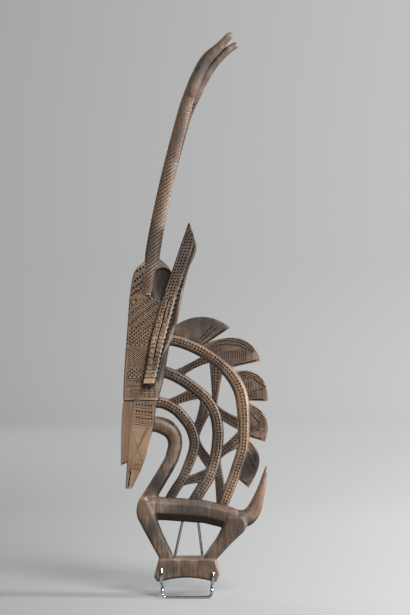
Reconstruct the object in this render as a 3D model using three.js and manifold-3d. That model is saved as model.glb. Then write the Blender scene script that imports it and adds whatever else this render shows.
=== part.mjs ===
// A carved wooden antelope headdress, held upright in a stand of two bent wires.
// Millimetres, +Z up. The animal faces -X, and the XZ plane is its mid plane.

import * as THREE from 'three';
import { mergeVertices } from 'three/addons/utils/BufferGeometryUtils.js';
import Module from 'manifold-3d';

const wasm = await Module();
wasm.setup();

// Overall size of the carving, from the underside of its block to the tip of the near horn
const HEADDRESS_HEIGHT = 945;

// Horns: two round rods, cut with spiral flutes that stop below the bend
const HORN_WIDTH = 25.5;
const HORN_SPACING = 33;
const HORN_FLATNESS = 0.94;
const FLUTE_COUNT = 9;
const FLUTE_LEAD = 68;
const FLUTE_DEPTH = 1.7;
const FLUTED_SHARE = 0.725;
const FRONT_FADE_FROM = 0.48;
const FRONT_FADE_TO = 0.6;

// Head: a long wedge, with a thin upright blade for the nose and a slit for the mouth
const BROW_THICKNESS = 50;
const CHIN_THICKNESS = 17;
const HEAD_CHAMFER = 5;
const BLADE_SETBACK = 1.2;
const BLADE_CHAMFER = 1.5;
const MOUTH_SLIT = 2.2;
const HOLLOW_WIDTH = 42;
const HOLLOW_HEIGHT = 58;
const HOLLOW_DEPTH = 9;
const HOLLOW_LEAN = 0.2;

// Ears: pointed boards on the sides of the head, with a groove in the lower half
const EAR_REACH = 10;
const EAR_BEVEL_DROP = 8;
const EAR_BOARD = 15;
const EAR_SINK = 5;
const EAR_GROOVE_WIDTH = 4;
const EAR_GROOVE_DEPTH = 3;
const EAR_NOTCH = 5;
const EAR_NOTCH_PITCH = 10;

// Neck, and the ribs, struts and leaves of the pierced mane
const NECK_WIDTH = 23;
const NECK_THICKNESS = 25;
const RIB_WIDTH = 19;
const RIB_THICKNESS = 24;
const RIB_FLAT = 10.5;
const RIB_FLANK = 5;
const STRUT_THICKNESS = 17;
const STRUT_CHAMFER = 2;
const LEAF_THICKNESS = 11;
const LEAF_EDGE = 5;

// Body, legs and tail
const BODY_THICKNESS = 42;
const BODY_DEPTH = 39;
const BODY_SHOULDER = 8;
const BODY_UNDERCUT = 25;
const LEG_SPREAD = 47;
const LEG_THICKNESS = 19;
const LEG_CHAMFER = 4;
const FOOT_LENGTH = 24;
const FOOT_SINK = 8;
const TAIL_THICKNESS = 34;

// Base block, arched underneath, with ends that flare
const BLOCK_LENGTH = 113;
const BLOCK_TOP_LENGTH = 97;
const BLOCK_HEIGHT = 40;
const BLOCK_DEPTH = 60;
const BLOCK_CHAMFER = 4;
const BLOCK_END_CUT = 6;
const ARCH_RISE = 6.8;
const BLOCK_FOOT = 12;

// Wire stand
const WIRE_DIAMETER = 5;
const WIRE_SIDES = 8;
const WIRE_BEND = 7;
const WIRE_BEND_STEP = 0.6;
const SEAT_HEIGHT = 27.2;
const REST_INSET = 12;
const LEG_WIRE_INSET = 2.1;
const LEFT_PRONG_HEIGHT = 24;
const RIGHT_PRONG_HEIGHT = 17;
const FLOOR_BAR_REACH = 12;
const REAR_FOOT_REACH = 26;
const HOOP_STANDOFF = 4;
const HOOP_WIDTH = 16;
const HOOP_OFFSET = 5.5;
const HOOP_FOOT_HEIGHT = 8;
const HOOP_LEFT_FOOT = 28;
const HOOP_RIGHT_FOOT = 30.5;
const HOOP_SPLAY = 6;
const HOOP_LEAN_HEIGHT = 96;
const HOOP_TOP_HEIGHT = 132;
const CLEARANCE = 0.3;

// The outline points below are drawn at this height and follow the real one
const DRAWN_HEIGHT = 945;
const share = HEADDRESS_HEIGHT / DRAWN_HEIGHT;
const at = (x, z) => new THREE.Vector2(x * share, z * share);

// Basic solids

function solidFrom(vertProperties, triVerts) {
  return new wasm.Manifold(new wasm.Mesh({ numProp: 3, vertProperties, triVerts }));
}

function solidOf(geometry) {
  geometry.deleteAttribute('normal');
  geometry.deleteAttribute('uv');
  const merged = mergeVertices(geometry, 1e-4);
  const points = Float32Array.from(merged.attributes.position.array);
  return solidFrom(points, Uint32Array.from(merged.index.array));
}

function signedVolume(points, triangles) {
  let volume = 0;
  const [a, b, c] = [new THREE.Vector3(), new THREE.Vector3(), new THREE.Vector3()];
  for (let i = 0; i < triangles.length; i += 3) {
    a.fromArray(points, triangles[i] * 3);
    b.fromArray(points, triangles[i + 1] * 3);
    c.fromArray(points, triangles[i + 2] * 3);
    volume += a.dot(b.cross(c));
  }
  return volume;
}

// A closed solid through rings of points, each ring with the same number of points.
// Each four-sided facet is split along its shorter diagonal, which follows a twist.
function loft(rings) {
  const count = rings[0].length;
  const corners = rings.flat();
  const points = corners.flatMap((p) => [p.x, p.y, p.z]);
  const triangles = [];
  for (let ring = 0; ring < rings.length - 1; ring++) {
    for (let i = 0; i < count; i++) {
      const a = ring * count + i;
      const b = ring * count + ((i + 1) % count);
      const [c, d] = [b + count, a + count];
      const firstIsShorter = corners[a].distanceTo(corners[c]) <= corners[b].distanceTo(corners[d]) + 1e-6;
      triangles.push(...(firstIsShorter ? [a, b, c, a, c, d] : [a, b, d, b, c, d]));
    }
  }
  const last = rings.length - 1;
  for (const [ring, flip] of [[0, true], [last, false]]) {
    const middle = new THREE.Vector3();
    rings[ring].forEach((p) => middle.add(p));
    middle.divideScalar(count);
    const centre = points.length / 3;
    points.push(middle.x, middle.y, middle.z);
    for (let i = 0; i < count; i++) {
      const a = ring * count + i;
      const b = ring * count + ((i + 1) % count);
      triangles.push(...(flip ? [b, a, centre] : [a, b, centre]));
    }
  }
  if (signedVolume(points, triangles) < 0) {
    for (let i = 0; i < triangles.length; i += 3) {
      [triangles[i], triangles[i + 1]] = [triangles[i + 1], triangles[i]];
    }
  }
  return solidFrom(Float32Array.from(points), Uint32Array.from(triangles));
}

// A flat board with its outline in the XZ plane, from one Y to another, with chamfered edges
function board(shape, yFrom, yTo, chamfer, curveSegments = 6) {
  const geometry = new THREE.ExtrudeGeometry(shape, {
    depth: yTo - yFrom - 2 * chamfer,
    bevelEnabled: chamfer > 0,
    bevelThickness: chamfer,
    bevelSize: chamfer,
    bevelOffset: -chamfer,
    bevelSegments: 1,
    curveSegments,
  });
  geometry.rotateX(Math.PI / 2);
  geometry.translate(0, yTo - chamfer, 0);
  return solidOf(geometry);
}

// Rings along a curve in the XZ plane. The section's first number lies in that plane.
function sweep(curve, steps, y, sectionAt) {
  const rings = [];
  for (let step = 0; step <= steps; step++) {
    const t = step / steps;
    const centre = curve.getPoint(t);
    const along = curve.getTangent(t);
    const section = sectionAt(t, step);
    rings.push(section.map(([u, v]) => new THREE.Vector3(
      centre.x - along.y * u,
      y + v,
      centre.y + along.x * u,
    )));
  }
  return loft(rings);
}

function oval(halfWidth, halfThickness, count) {
  return Array.from({ length: count }, (_, i) => {
    const angle = ((i + 0.5) / count) * 2 * Math.PI;
    return [halfWidth * Math.cos(angle), halfThickness * Math.sin(angle)];
  });
}

function chamferedBar(halfWidth, halfFlat, halfThickness, flank) {
  return [
    [halfWidth, -halfThickness + flank], [halfWidth, halfThickness - flank],
    [halfFlat, halfThickness], [-halfFlat, halfThickness],
    [-halfWidth, halfThickness - flank], [-halfWidth, -halfThickness + flank],
    [-halfFlat, -halfThickness], [halfFlat, -halfThickness],
  ];
}

// Straight-line reading of a table of [position, value] rows
function read(rows, position) {
  const next = rows.findIndex(([p]) => p >= position);
  if (next === 0) return rows[0][1];
  if (next < 0) return rows[rows.length - 1][1];
  const [p0, v0] = rows[next - 1];
  const [p1, v1] = rows[next];
  return THREE.MathUtils.mapLinear(position, p0, p1, v0, v1);
}

const mirrored = (solid) => solid.mirror([0, 1, 0]);
const joined = (solids) => solids.reduce((all, one) => all.add(one));

// Horns

// Width along a horn, and how its blunt tip rounds off
const hornWidthAlong = [
  [0, 0.12], [0.03, 0.27], [0.06, 0.57], [0.1, 0.95], [0.16, 1], [0.45, 0.93], [0.68, 0.86],
  [0.8, 0.84], [0.87, 0.8], [0.93, 0.62], [0.97, 0.5], [1, 0.44],
];
const hornTipFrom = 0.985;
const hornTipEnd = 0.9995;
const hornTipRound = 0.35;

function horn(points, side) {
  const curve = new THREE.SplineCurve(points);
  const length = curve.getLength();
  const turnPerRing = (2 * Math.PI) / FLUTE_COUNT;
  const ringGap = (FLUTE_LEAD * turnPerRing) / (2 * Math.PI);
  const flutedRings = Math.round((FLUTED_SHARE * length) / ringGap);
  const stations = [];
  for (let ring = 0; ring <= flutedRings; ring++) stations.push((ring * ringGap) / length);
  const firstPlain = stations[flutedRings];
  const plainRings = 6;
  for (let ring = 1; ring <= plainRings; ring++) {
    stations.push(THREE.MathUtils.lerp(firstPlain, 1, Math.sin((ring / plainRings) * Math.PI / 2)));
  }
  // A ridge and a groove for each flute; the front of the horn is worn plain higher up
  const corners = FLUTE_COUNT * 2;
  const rings = stations.map((t, ring) => {
    const along = Math.min(t, hornTipEnd);
    const centre = curve.getPointAt(along);
    const tangent = curve.getTangentAt(along);
    const tipShare = Math.max(0, (along - hornTipFrom) / (1 - hornTipFrom));
    const rounding = Math.max(hornTipRound, Math.sqrt(1 - tipShare ** 2));
    const width = read(hornWidthAlong, along);
    const half = ((width * HORN_WIDTH) / 2) * rounding;
    const turned = Math.min(ring, flutedRings) * turnPerRing;
    const fade = THREE.MathUtils.smoothstep(along, FRONT_FADE_FROM, FRONT_FADE_TO);
    return Array.from({ length: corners }, (_, i) => {
      const angle = side * ((i / corners) * 2 * Math.PI + turned);
      const front = THREE.MathUtils.smoothstep(Math.cos(angle), -0.2, 0.6);
      const fluted = ring <= flutedRings ? 1 - fade * front : 0;
      const radius = half - (i % 2) * FLUTE_DEPTH * width * fluted;
      const u = radius * Math.cos(angle);
      const v = radius * Math.sin(angle) * HORN_FLATNESS;
      const y = (side * HORN_SPACING) / 2 + v;
      return new THREE.Vector3(centre.x - tangent.y * u, y, centre.y + tangent.x * u);
    });
  });
  return loft(rings);
}

const hornFoot = [
  at(-72, 494), at(-67.5, 516), at(-61.6, 536), at(-58.3, 570), at(-49.8, 618), at(-31.7, 702),
];
const nearHornPoints = [
  ...hornFoot, at(-7, 800), at(6, 840), at(17.3, 868), at(33, 897), at(56, 920), at(77, 943.2),
];
const farHornPoints = [
  ...hornFoot, at(-4.5, 798), at(12.5, 838), at(26, 865), at(43.2, 892.2), at(64, 912), at(88, 928),
];
const horns = () => joined([horn(nearHornPoints, -1), horn(farHornPoints, 1)]);

// Head: level rings between a front edge and a back edge

const browHalf = BROW_THICKNESS / 2;
const chinHalf = CHIN_THICKNESS / 2;
// Rows are height, front edge, back edge and share of the brow's thickness
const upperHeadRows = [
  [555, -68, -48, 0.7], [544, -81, -34.5, 0.88], [533, -90.5, -27.6, 0.96], [515, -95, -23, 1],
  [480, -99.5, -22, 1], [430, -103, -27, 0.96], [380, -106.8, -34.6, 0.88], [345, -108.8, -40.8, 0.82],
  [312, -110, -49.6, 0.77],
];
const muzzleRows = [
  [320, -92, -50], [306, -92.4, -52.5], [280, -96.5, -56], [256, -99.5, -60.2], [232, -101.4, -66.8],
  [207, -103.1, -73.6], [184, -104.6, -82.3], [166, -105.8, -91], [158, -106.3, -95],
];

function levelRing(z, front, back, half, chamfer) {
  const cut = Math.min(chamfer, half * 0.5);
  return [
    [front + cut, -half], [back - cut, -half], [back, -half + cut], [back, half - cut],
    [back - cut, half], [front + cut, half], [front, half - cut * 1.4], [front, -half + cut * 1.4],
  ].map(([x, y]) => new THREE.Vector3(x, y, z));
}

function headWedge() {
  return loft(upperHeadRows.map(([z, front, back, thick]) => (
    levelRing(z * share, front * share, back * share, thick * browHalf, HEAD_CHAMFER)
  )));
}

function muzzleHalf(z) {
  const [top] = muzzleRows[0];
  const [bottom] = muzzleRows[muzzleRows.length - 1];
  return THREE.MathUtils.mapLinear(z, top, bottom, browHalf * 0.72, chinHalf);
}

function muzzle() {
  return loft(muzzleRows.map(([z, front, back]) => (
    levelRing(z * share, front * share, back * share, muzzleHalf(z), HEAD_CHAMFER * 0.6)
  )));
}

// The nose is a hair thinner than the muzzle behind it, and its lower end is cut on a slant.
// Rows are the heights of its front and back edges, the front edge and the back edge.
const bladeRows = [
  [318, 318, -104, -86], [311, 311, -109.2, -86], [292, 292, -111.4, -87], [262, 262, -113, -90],
  [230, 230, -113.8, -94], [198, 205, -114, -98],
];

function noseBlade() {
  return loft(bladeRows.map(([frontZ, backZ, front, back]) => {
    const half = muzzleHalf(frontZ) - BLADE_SETBACK;
    const ring = levelRing(0, front * share, back * share, half, BLADE_CHAMFER);
    ring.forEach((p) => {
      p.z = THREE.MathUtils.mapLinear(p.x, front * share, back * share, frontZ * share, backZ * share);
    });
    return ring;
  }));
}

function mouthSlit() {
  const top = at(-96.8, 191);
  const foot = at(-101.5, 152);
  const outline = new THREE.Shape([
    top,
    new THREE.Vector2(foot.x - MOUTH_SLIT / 2, foot.y),
    new THREE.Vector2(foot.x + MOUTH_SLIT / 2, foot.y),
  ]);
  return board(outline, -BROW_THICKNESS, BROW_THICKNESS, 0);
}

// The scooped hollow between the foot of a horn and the ear
function nearHollow() {
  const geometry = new THREE.SphereGeometry(1, 8, 6);
  geometry.scale(HOLLOW_WIDTH / 2, HOLLOW_DEPTH, HOLLOW_HEIGHT / 2);
  geometry.rotateY(HOLLOW_LEAN);
  const centre = at(-44, 511);
  geometry.translate(centre.x, -browHalf, centre.y);
  return solidOf(geometry);
}

// Ears: level rings with a front edge, the end of the flat face, the foot of the bevel and the rim

const earRows = [
  [616, 2.4, 3.4, 4.2, 5], [588, -7, 11.8, 12.6, 13.4], [580, -10, 9.4, 12.6, 16.2],
  [574, -12, 7.4, 11.5, 16.5],
  [538, -24.3, -4.5, 0, 3], [492, -40.5, -21, -13.5, -8], [446, -54, -33, -26.8, -17.5],
  [411, -63, -42.5, -37, -28.5], [384, -67.3, -48.7, -43.4, -42], [360, -71.8, -54, -47.8, -46.5],
  [341, -75.5, -59, -53.6, -52.6],
];
const earFaceAt = browHalf + EAR_REACH;
const column = (rows, index) => [...rows].reverse().map((row) => [row[0], row[index]]);
const earFront = column(earRows, 1);
const earFaceEnd = column(earRows, 2);
const earBevelFoot = column(earRows, 3);
const headThickness = column(upperHeadRows, 3);

function nearEar() {
  const outer = -earFaceAt;
  const bevel = outer + EAR_BEVEL_DROP;
  const rings = earRows.map(([z, front, faceEnd, bevelFoot, rim]) => {
    const inner = Math.max(outer + EAR_BOARD, EAR_SINK - read(headThickness, z) * browHalf);
    return [
      [front, inner], [front, outer + 2], [front + 1, outer], [faceEnd, outer],
      [bevelFoot, bevel], [rim, bevel], [rim, inner],
    ].map(([x, y]) => new THREE.Vector3(x * share, y, z * share));
  });
  return loft(rings).subtract(earGroove(outer)).subtract(earNotches(outer));
}

// The groove between the two strips of the ear's lower half
function earGroove(outer) {
  const heights = [497, 480, 446, 411, 384, 372];
  const rings = heights.map((z, i) => {
    const middle = read(earFront, z) * 0.42 + read(earFaceEnd, z) * 0.58;
    const tapered = i === 0 || i === heights.length - 1 ? 0.2 : 1;
    const half = (EAR_GROOVE_WIDTH / 2) * tapered;
    const deep = outer + EAR_GROOVE_DEPTH * tapered;
    return [[-half, outer - 1], [half, outer - 1], [0, deep]].map(([x, y]) => (
      new THREE.Vector3(middle * share + x, y, z * share)
    ));
  });
  return loft(rings);
}

// The row of big notches down the ear's bevelled side
function earNotches(outer) {
  const notches = [];
  const [highest, lowest] = [502 * share, 350 * share];
  for (let z = lowest; z < highest; z += EAR_NOTCH_PITCH) {
    const drawn = z / share;
    const x = ((read(earFaceEnd, drawn) + read(earBevelFoot, drawn)) / 2) * share;
    const y = outer + EAR_BEVEL_DROP / 2;
    const geometry = new THREE.ConeGeometry(EAR_NOTCH * 0.7, EAR_NOTCH * 2, 3);
    geometry.rotateY(Math.PI / 6);
    geometry.rotateX(-Math.PI / 2);
    geometry.rotateX(Math.PI);
    geometry.rotateZ(Math.PI / 4);
    geometry.translate(x, y, z);
    notches.push(solidOf(geometry));
  }
  return joined(notches);
}

function head() {
  const hollow = nearHollow();
  const ear = nearEar();
  const wedge = headWedge().subtract(hollow).subtract(mirrored(hollow));
  const chin = muzzle().subtract(mouthSlit());
  return joined([wedge, chin, noseBlade(), ear, mirrored(ear)]);
}

// Neck: one smooth curved rod from the back of the muzzle to the chest

const neckPoints = [
  at(-74, 266), at(-56, 269.5), at(-38, 264.5), at(-25, 253.5), at(-20.3, 236), at(-24, 218),
  at(-29, 204.5), at(-46.3, 174.5), at(-64.5, 145), at(-73, 131),
];
const neckWidthAlong = [
  [0, 1.1], [0.22, 1.3], [0.33, 1.22], [0.44, 1.11], [0.56, 1.07], [0.66, 1.04], [0.78, 1.04],
  [0.89, 1.09], [1, 1.13],
];

function neck() {
  const curve = new THREE.SplineCurve(neckPoints);
  return sweep(curve, 12, 0, (t) => (
    oval((read(neckWidthAlong, t) * NECK_WIDTH) / 2, NECK_THICKNESS / 2, 10)
  ));
}

// Mane: three arched ribs from the back of the head down to the body

const ribRoutes = [
  [at(-66, 306), at(-50.7, 307), at(-36.6, 304), at(-19, 294), at(-5.2, 279.6), at(6.2, 263.2),
    at(12.9, 242), at(10.9, 222.5), at(2.3, 199), at(-7.5, 176), at(-19.5, 158), at(-31, 138), at(-36, 126)],
  [at(-58, 359), at(-39.2, 359), at(-24.2, 354), at(-5.7, 344), at(13, 330.5), at(29, 317), at(41, 302),
    at(49, 285), at(52.7, 266), at(53.3, 245), at(49.5, 214), at(39, 181), at(24.6, 157), at(12.2, 136),
    at(6.2, 124)],
  [at(-44, 414), at(-27, 414), at(-9, 410), at(11, 402), at(29.5, 392.5), at(50.5, 378), at(69, 362),
    at(83, 344), at(92, 325), at(96.5, 301), at(98, 265), at(95.5, 226), at(87, 197), at(78.5, 172),
    at(68.3, 147), at(59, 124), at(55, 114)],
];
const ribWidthAlong = [
  [[0.5, 1], [0.7, 0.86]],
  [[0, 1.05], [1, 1.05]],
  [[0.31, 1], [0.38, 1.1], [0.44, 1.18], [0.5, 1.2], [0.56, 1.18], [0.63, 1.05], [0.69, 1]],
];

function rib(points, index) {
  const curve = new THREE.SplineCurve(points);
  return sweep(curve, Math.round(points.length * 1.3), 0, (t) => {
    const width = read(ribWidthAlong[index], t) / 2;
    return chamferedBar(RIB_WIDTH * width, RIB_FLAT * width, RIB_THICKNESS / 2, RIB_FLANK);
  });
}

// Struts: the two sides of each bar between the ribs, as start, end and how far the side bows in
const strutRows = [
  [[at(-22, 362), at(31, 390), 1], [at(-8, 352), at(50, 378), 4]],
  [[at(38, 381), at(43, 314), 0.5], [at(62, 362), at(51.5, 300), 0.5]],
  [[at(50, 305), at(90, 281), 3], [at(58, 278), at(90, 259), -1]],
  [[at(92, 262), at(59, 229), 1], [at(89, 228), at(55, 206), 3]],
  [[at(45.5, 206), at(51, 126), 0.5], [at(57, 214), at(70.5, 141), 1]],
  [[at(-39, 310), at(6, 331), 1], [at(-20, 302), at(26, 314), 1.5]],
  [[at(23.5, 316), at(11, 266), 2], [at(40, 288), at(19, 242), 1.5]],
  [[at(20, 249), at(43, 212), 3], [at(14, 225), at(38, 188), -1]],
  [[at(-2, 178), at(39, 196), 1], [at(-12, 161), at(26, 168), 2]],
];

function strut([first, second]) {
  const outline = new THREE.Shape();
  const bowed = (from, to, bow) => {
    const along = to.clone().sub(from);
    const inward = new THREE.Vector2(-along.y, along.x).normalize();
    const towards = first[0].clone().add(first[1]).add(second[0]).add(second[1]).multiplyScalar(0.25);
    const middle = from.clone().add(to).multiplyScalar(0.5);
    if (inward.dot(towards.sub(middle)) < 0) inward.negate();
    const pull = middle.addScaledVector(inward, 2 * bow * share);
    outline.quadraticCurveTo(pull.x, pull.y, to.x, to.y);
  };
  outline.moveTo(first[0].x, first[0].y);
  bowed(...first);
  outline.lineTo(second[1].x, second[1].y);
  bowed(second[1], second[0], second[2]);
  outline.closePath();
  return board(outline, -STRUT_THICKNESS / 2, STRUT_THICKNESS / 2, STRUT_CHAMFER, 3);
}

// Leaves: a bowed upper edge from the root to the point, then a straight cut back to the rib
const leafRows = [
  { root: at(-30, 433), bow: [at(2, 459), at(42, 464)], point: at(74.4, 436),
    back: at(21, 400), seat: at(-30, 412) },
  { root: at(22, 404), bow: [at(62, 423.5), at(113, 431.5)], point: at(127.3, 378.6),
    back: at(80, 368), seat: at(66, 368) },
  { root: at(78, 358), bow: [at(116, 372), at(142, 350)], point: at(139.7, 308.9),
    back: at(104, 310.2), seat: at(93, 315.5) },
  { root: at(100, 309), bow: [at(128, 302), at(150, 276)], point: at(135, 239.2),
    back: at(104, 248.3), seat: at(97, 256) },
  { root: at(99, 248), bow: [at(131, 224), at(134, 204)], point: at(106.4, 159.6),
    back: at(88, 175), seat: at(83, 190) },
];

function leaf({ root, bow, point, back, seat }) {
  const outline = new THREE.Shape();
  outline.moveTo(root.x, root.y);
  outline.bezierCurveTo(bow[0].x, bow[0].y, bow[1].x, bow[1].y, point.x, point.y);
  outline.lineTo(back.x, back.y);
  outline.lineTo(seat.x, seat.y);
  outline.closePath();
  const half = LEAF_THICKNESS / 2;
  return board(outline, -half, half, (LEAF_THICKNESS - LEAF_EDGE) / 2, 9);
}

function mane() {
  return joined([...ribRoutes.map(rib), ...strutRows.map(strut), ...leafRows.map(leaf)]);
}

// Body: a bar with rounded shoulders and an undercut belly, from the chest to the rump

const backLine = [at(-75, 144.5), at(-40, 143), at(29, 138), at(70, 128), at(86, 122)];

function body() {
  const half = BODY_THICKNESS / 2;
  const bellyHalf = half * 0.55;
  const rings = backLine.map((p, i) => {
    const deep = i === backLine.length - 1 ? BODY_DEPTH * 0.8 : BODY_DEPTH;
    return [
      [-half * 0.62, 0], [half * 0.62, 0], [half, -BODY_SHOULDER], [half, -BODY_UNDERCUT],
      [bellyHalf, -deep], [-bellyHalf, -deep], [-half, -BODY_UNDERCUT], [-half, -BODY_SHOULDER],
    ].map(([y, drop]) => new THREE.Vector3(p.x, y, p.y + drop));
  });
  return loft(rings);
}

// Legs: one bent board at the chest and one under the rump, on each side of the mid plane.
// Their feet stand on the ends of the block's top.
const blockTopEnd = BLOCK_TOP_LENGTH / 2;

function nearLegs() {
  const soleZ = BLOCK_HEIGHT - FOOT_SINK;
  const chest = [
    at(-70, 146), at(-79, 143.5), at(-85, 134.3), at(-87.5, 120), at(-85, 108), at(-77, 92.6), at(-62, 65),
  ];
  const shin = [at(-42, 78.7), at(-52.6, 106.4), at(-60, 124)];
  const front = new THREE.Shape([
    ...chest,
    new THREE.Vector2(-blockTopEnd + 1, BLOCK_HEIGHT - 1),
    new THREE.Vector2(-blockTopEnd + 3, soleZ),
    new THREE.Vector2(-blockTopEnd + FOOT_LENGTH - 1, soleZ),
    new THREE.Vector2(-blockTopEnd + FOOT_LENGTH, BLOCK_HEIGHT + 3),
    ...shin,
  ]);
  const rump = [at(68, 112), at(64, 97), at(50.9, 72)];
  const thigh = [at(76.4, 64.9), at(98.5, 85.5), at(104, 97), at(96, 112)];
  const rear = new THREE.Shape([
    ...rump,
    new THREE.Vector2(blockTopEnd - FOOT_LENGTH + 4, BLOCK_HEIGHT),
    new THREE.Vector2(blockTopEnd - FOOT_LENGTH + 5, soleZ),
    new THREE.Vector2(blockTopEnd - 1, soleZ),
    new THREE.Vector2(blockTopEnd + 1, BLOCK_HEIGHT - BLOCK_CHAMFER),
    ...thigh,
  ]);
  const outer = -LEG_SPREAD / 2;
  return [front, rear].map((outline) => board(outline, outer, outer + LEG_THICKNESS, LEG_CHAMFER));
}

// Tail: a curved horn that rises from the rump to a point
const tailPoints = [
  at(72, 107), at(90, 105.5), at(104, 108.5), at(115.5, 121.5), at(123.5, 142), at(130.3, 164.5),
  at(135.6, 188), at(138, 198.8),
];
const tailWidthAlong = [
  [0, 13], [0.14, 16], [0.28, 15], [0.43, 13], [0.57, 9.6], [0.72, 6.4], [0.86, 3.3], [1, 1],
];
const tailThickAlong = [[0, 1], [0.22, 0.95], [0.42, 0.66], [0.65, 0.42], [0.86, 0.24], [1, 0.08]];

function tail() {
  const curve = new THREE.SplineCurve(tailPoints);
  return sweep(curve, 11, 0, (t) => (
    oval(read(tailWidthAlong, t) * share, (read(tailThickAlong, t) * TAIL_THICKNESS) / 2, 10)
  ));
}

function block() {
  const half = BLOCK_LENGTH / 2;
  const arch = half - BLOCK_FOOT;
  const outline = new THREE.Shape();
  outline.moveTo(-half + BLOCK_END_CUT, 0);
  outline.lineTo(-arch, 0);
  outline.quadraticCurveTo(0, 2 * ARCH_RISE, arch, 0);
  outline.lineTo(half - BLOCK_END_CUT, 0);
  outline.lineTo(half, BLOCK_HEIGHT * 0.3);
  outline.lineTo(blockTopEnd + 1, BLOCK_HEIGHT - BLOCK_CHAMFER / 2);
  outline.lineTo(blockTopEnd - BLOCK_CHAMFER, BLOCK_HEIGHT);
  outline.lineTo(-blockTopEnd + BLOCK_CHAMFER, BLOCK_HEIGHT);
  outline.lineTo(-blockTopEnd, BLOCK_HEIGHT - BLOCK_CHAMFER / 2);
  outline.lineTo(-half, BLOCK_HEIGHT * 0.18);
  outline.closePath();
  return board(outline, -BLOCK_DEPTH / 2, BLOCK_DEPTH / 2, BLOCK_CHAMFER);
}

function headdress() {
  const legs = nearLegs();
  return joined([horns(), head(), neck(), mane(), body(), ...legs, ...legs.map(mirrored), tail(), block()]);
}

// Wires: a round rod through straight runs and bends. Each stop on its route is a place
// and a direction, and the rod's flats face along X, Y and Z on its level and upright runs.

function bentRoute(corners, bend) {
  const towards = (from, to) => to.clone().sub(from).normalize();
  const last = corners.length - 1;
  const route = [[corners[0], towards(corners[0], corners[1])]];
  for (let i = 1; i < last; i++) {
    const before = towards(corners[i], corners[i - 1]);
    const after = towards(corners[i], corners[i + 1]);
    const halfAngle = before.angleTo(after) / 2;
    const cutBack = bend / Math.tan(halfAngle);
    const middle = before.clone().add(after).normalize();
    const centre = corners[i].clone().addScaledVector(middle, bend / Math.sin(halfAngle));
    const start = corners[i].clone().addScaledVector(before, cutBack).sub(centre);
    const axis = after.clone().cross(before).normalize();
    const sweepAngle = Math.PI - 2 * halfAngle;
    const steps = Math.ceil(sweepAngle / WIRE_BEND_STEP);
    for (let step = 0; step <= steps; step++) {
      const arm = start.clone().applyAxisAngle(axis, (sweepAngle * step) / steps);
      route.push([arm.clone().add(centre), axis.clone().cross(arm).normalize()]);
    }
  }
  route.push([corners[last], towards(corners[last - 1], corners[last])]);
  return route;
}

const wireHalf = WIRE_DIAMETER / 2;
const cornerRadius = wireHalf / Math.cos(Math.PI / WIRE_SIDES);

function wire(corners) {
  const route = bentRoute(corners, WIRE_BEND);
  let normal = new THREE.Vector3(1, 0, 0);
  let [, previous] = route[0];
  const rings = route.map(([point, along]) => {
    const turn = new THREE.Quaternion().setFromUnitVectors(previous, along);
    normal = normal.clone().applyQuaternion(turn);
    previous = along;
    const side = along.clone().cross(normal);
    return Array.from({ length: WIRE_SIDES }, (_, k) => {
      const angle = ((k + 0.5) / WIRE_SIDES) * 2 * Math.PI;
      return point.clone()
        .addScaledVector(normal, cornerRadius * Math.cos(angle))
        .addScaledVector(side, cornerRadius * Math.sin(angle));
    });
  });
  return loft(rings);
}

// Heights of the wires are above the block's underside, as the carving's are
const restX = BLOCK_LENGTH / 2 - REST_INSET;
const restZ = -wireHalf - CLEARANCE;
const frontY = -BLOCK_DEPTH / 2 - wireHalf - CLEARANCE;
const backY = BLOCK_DEPTH / 2 + wireHalf + HOOP_STANDOFF;
const hoopTopY = BODY_THICKNESS / 2 + cornerRadius + CLEARANCE;

function cradleWire() {
  const hoopHalf = HOOP_WIDTH / 2;
  const splayed = hoopHalf + HOOP_SPLAY;
  const corner = (x, y, z) => new THREE.Vector3(x, y, z);
  return wire([
    corner(-restX, frontY, LEFT_PRONG_HEIGHT),
    corner(-restX, frontY, restZ),
    corner(-restX, backY, restZ),
    corner(-HOOP_LEFT_FOOT, backY, HOOP_FOOT_HEIGHT),
    corner(HOOP_OFFSET - splayed, backY, HOOP_LEAN_HEIGHT),
    corner(HOOP_OFFSET - hoopHalf, hoopTopY, HOOP_TOP_HEIGHT),
    corner(HOOP_OFFSET + hoopHalf, hoopTopY, HOOP_TOP_HEIGHT),
    corner(HOOP_OFFSET + splayed, backY, HOOP_LEAN_HEIGHT),
    corner(HOOP_RIGHT_FOOT, backY, HOOP_FOOT_HEIGHT),
    corner(restX, backY, restZ),
    corner(restX, frontY, restZ),
    corner(restX, frontY, RIGHT_PRONG_HEIGHT),
  ]);
}

function legWire() {
  const x = restX - LEG_WIRE_INSET;
  const apart = 2 * cornerRadius + CLEARANCE;
  const runZ = restZ - Math.sqrt(apart ** 2 - LEG_WIRE_INSET ** 2);
  const barY = frontY - FLOOR_BAR_REACH;
  const footY = backY + REAR_FOOT_REACH;
  const barZ = wireHalf - SEAT_HEIGHT;
  return wire([
    new THREE.Vector3(-x, footY, -SEAT_HEIGHT),
    new THREE.Vector3(-x, footY, runZ),
    new THREE.Vector3(-x, barY, runZ),
    new THREE.Vector3(-x, barY, barZ),
    new THREE.Vector3(x, barY, barZ),
    new THREE.Vector3(x, barY, runZ),
    new THREE.Vector3(x, footY, runZ),
    new THREE.Vector3(x, footY, -SEAT_HEIGHT),
  ]);
}

// Scene graph

const wood = new THREE.MeshStandardMaterial({ color: 0x6e5b4e, roughness: 0.62, metalness: 0 });
const chrome = new THREE.MeshStandardMaterial({ color: 0xc9ccd0, roughness: 0.12, metalness: 1 });

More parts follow.
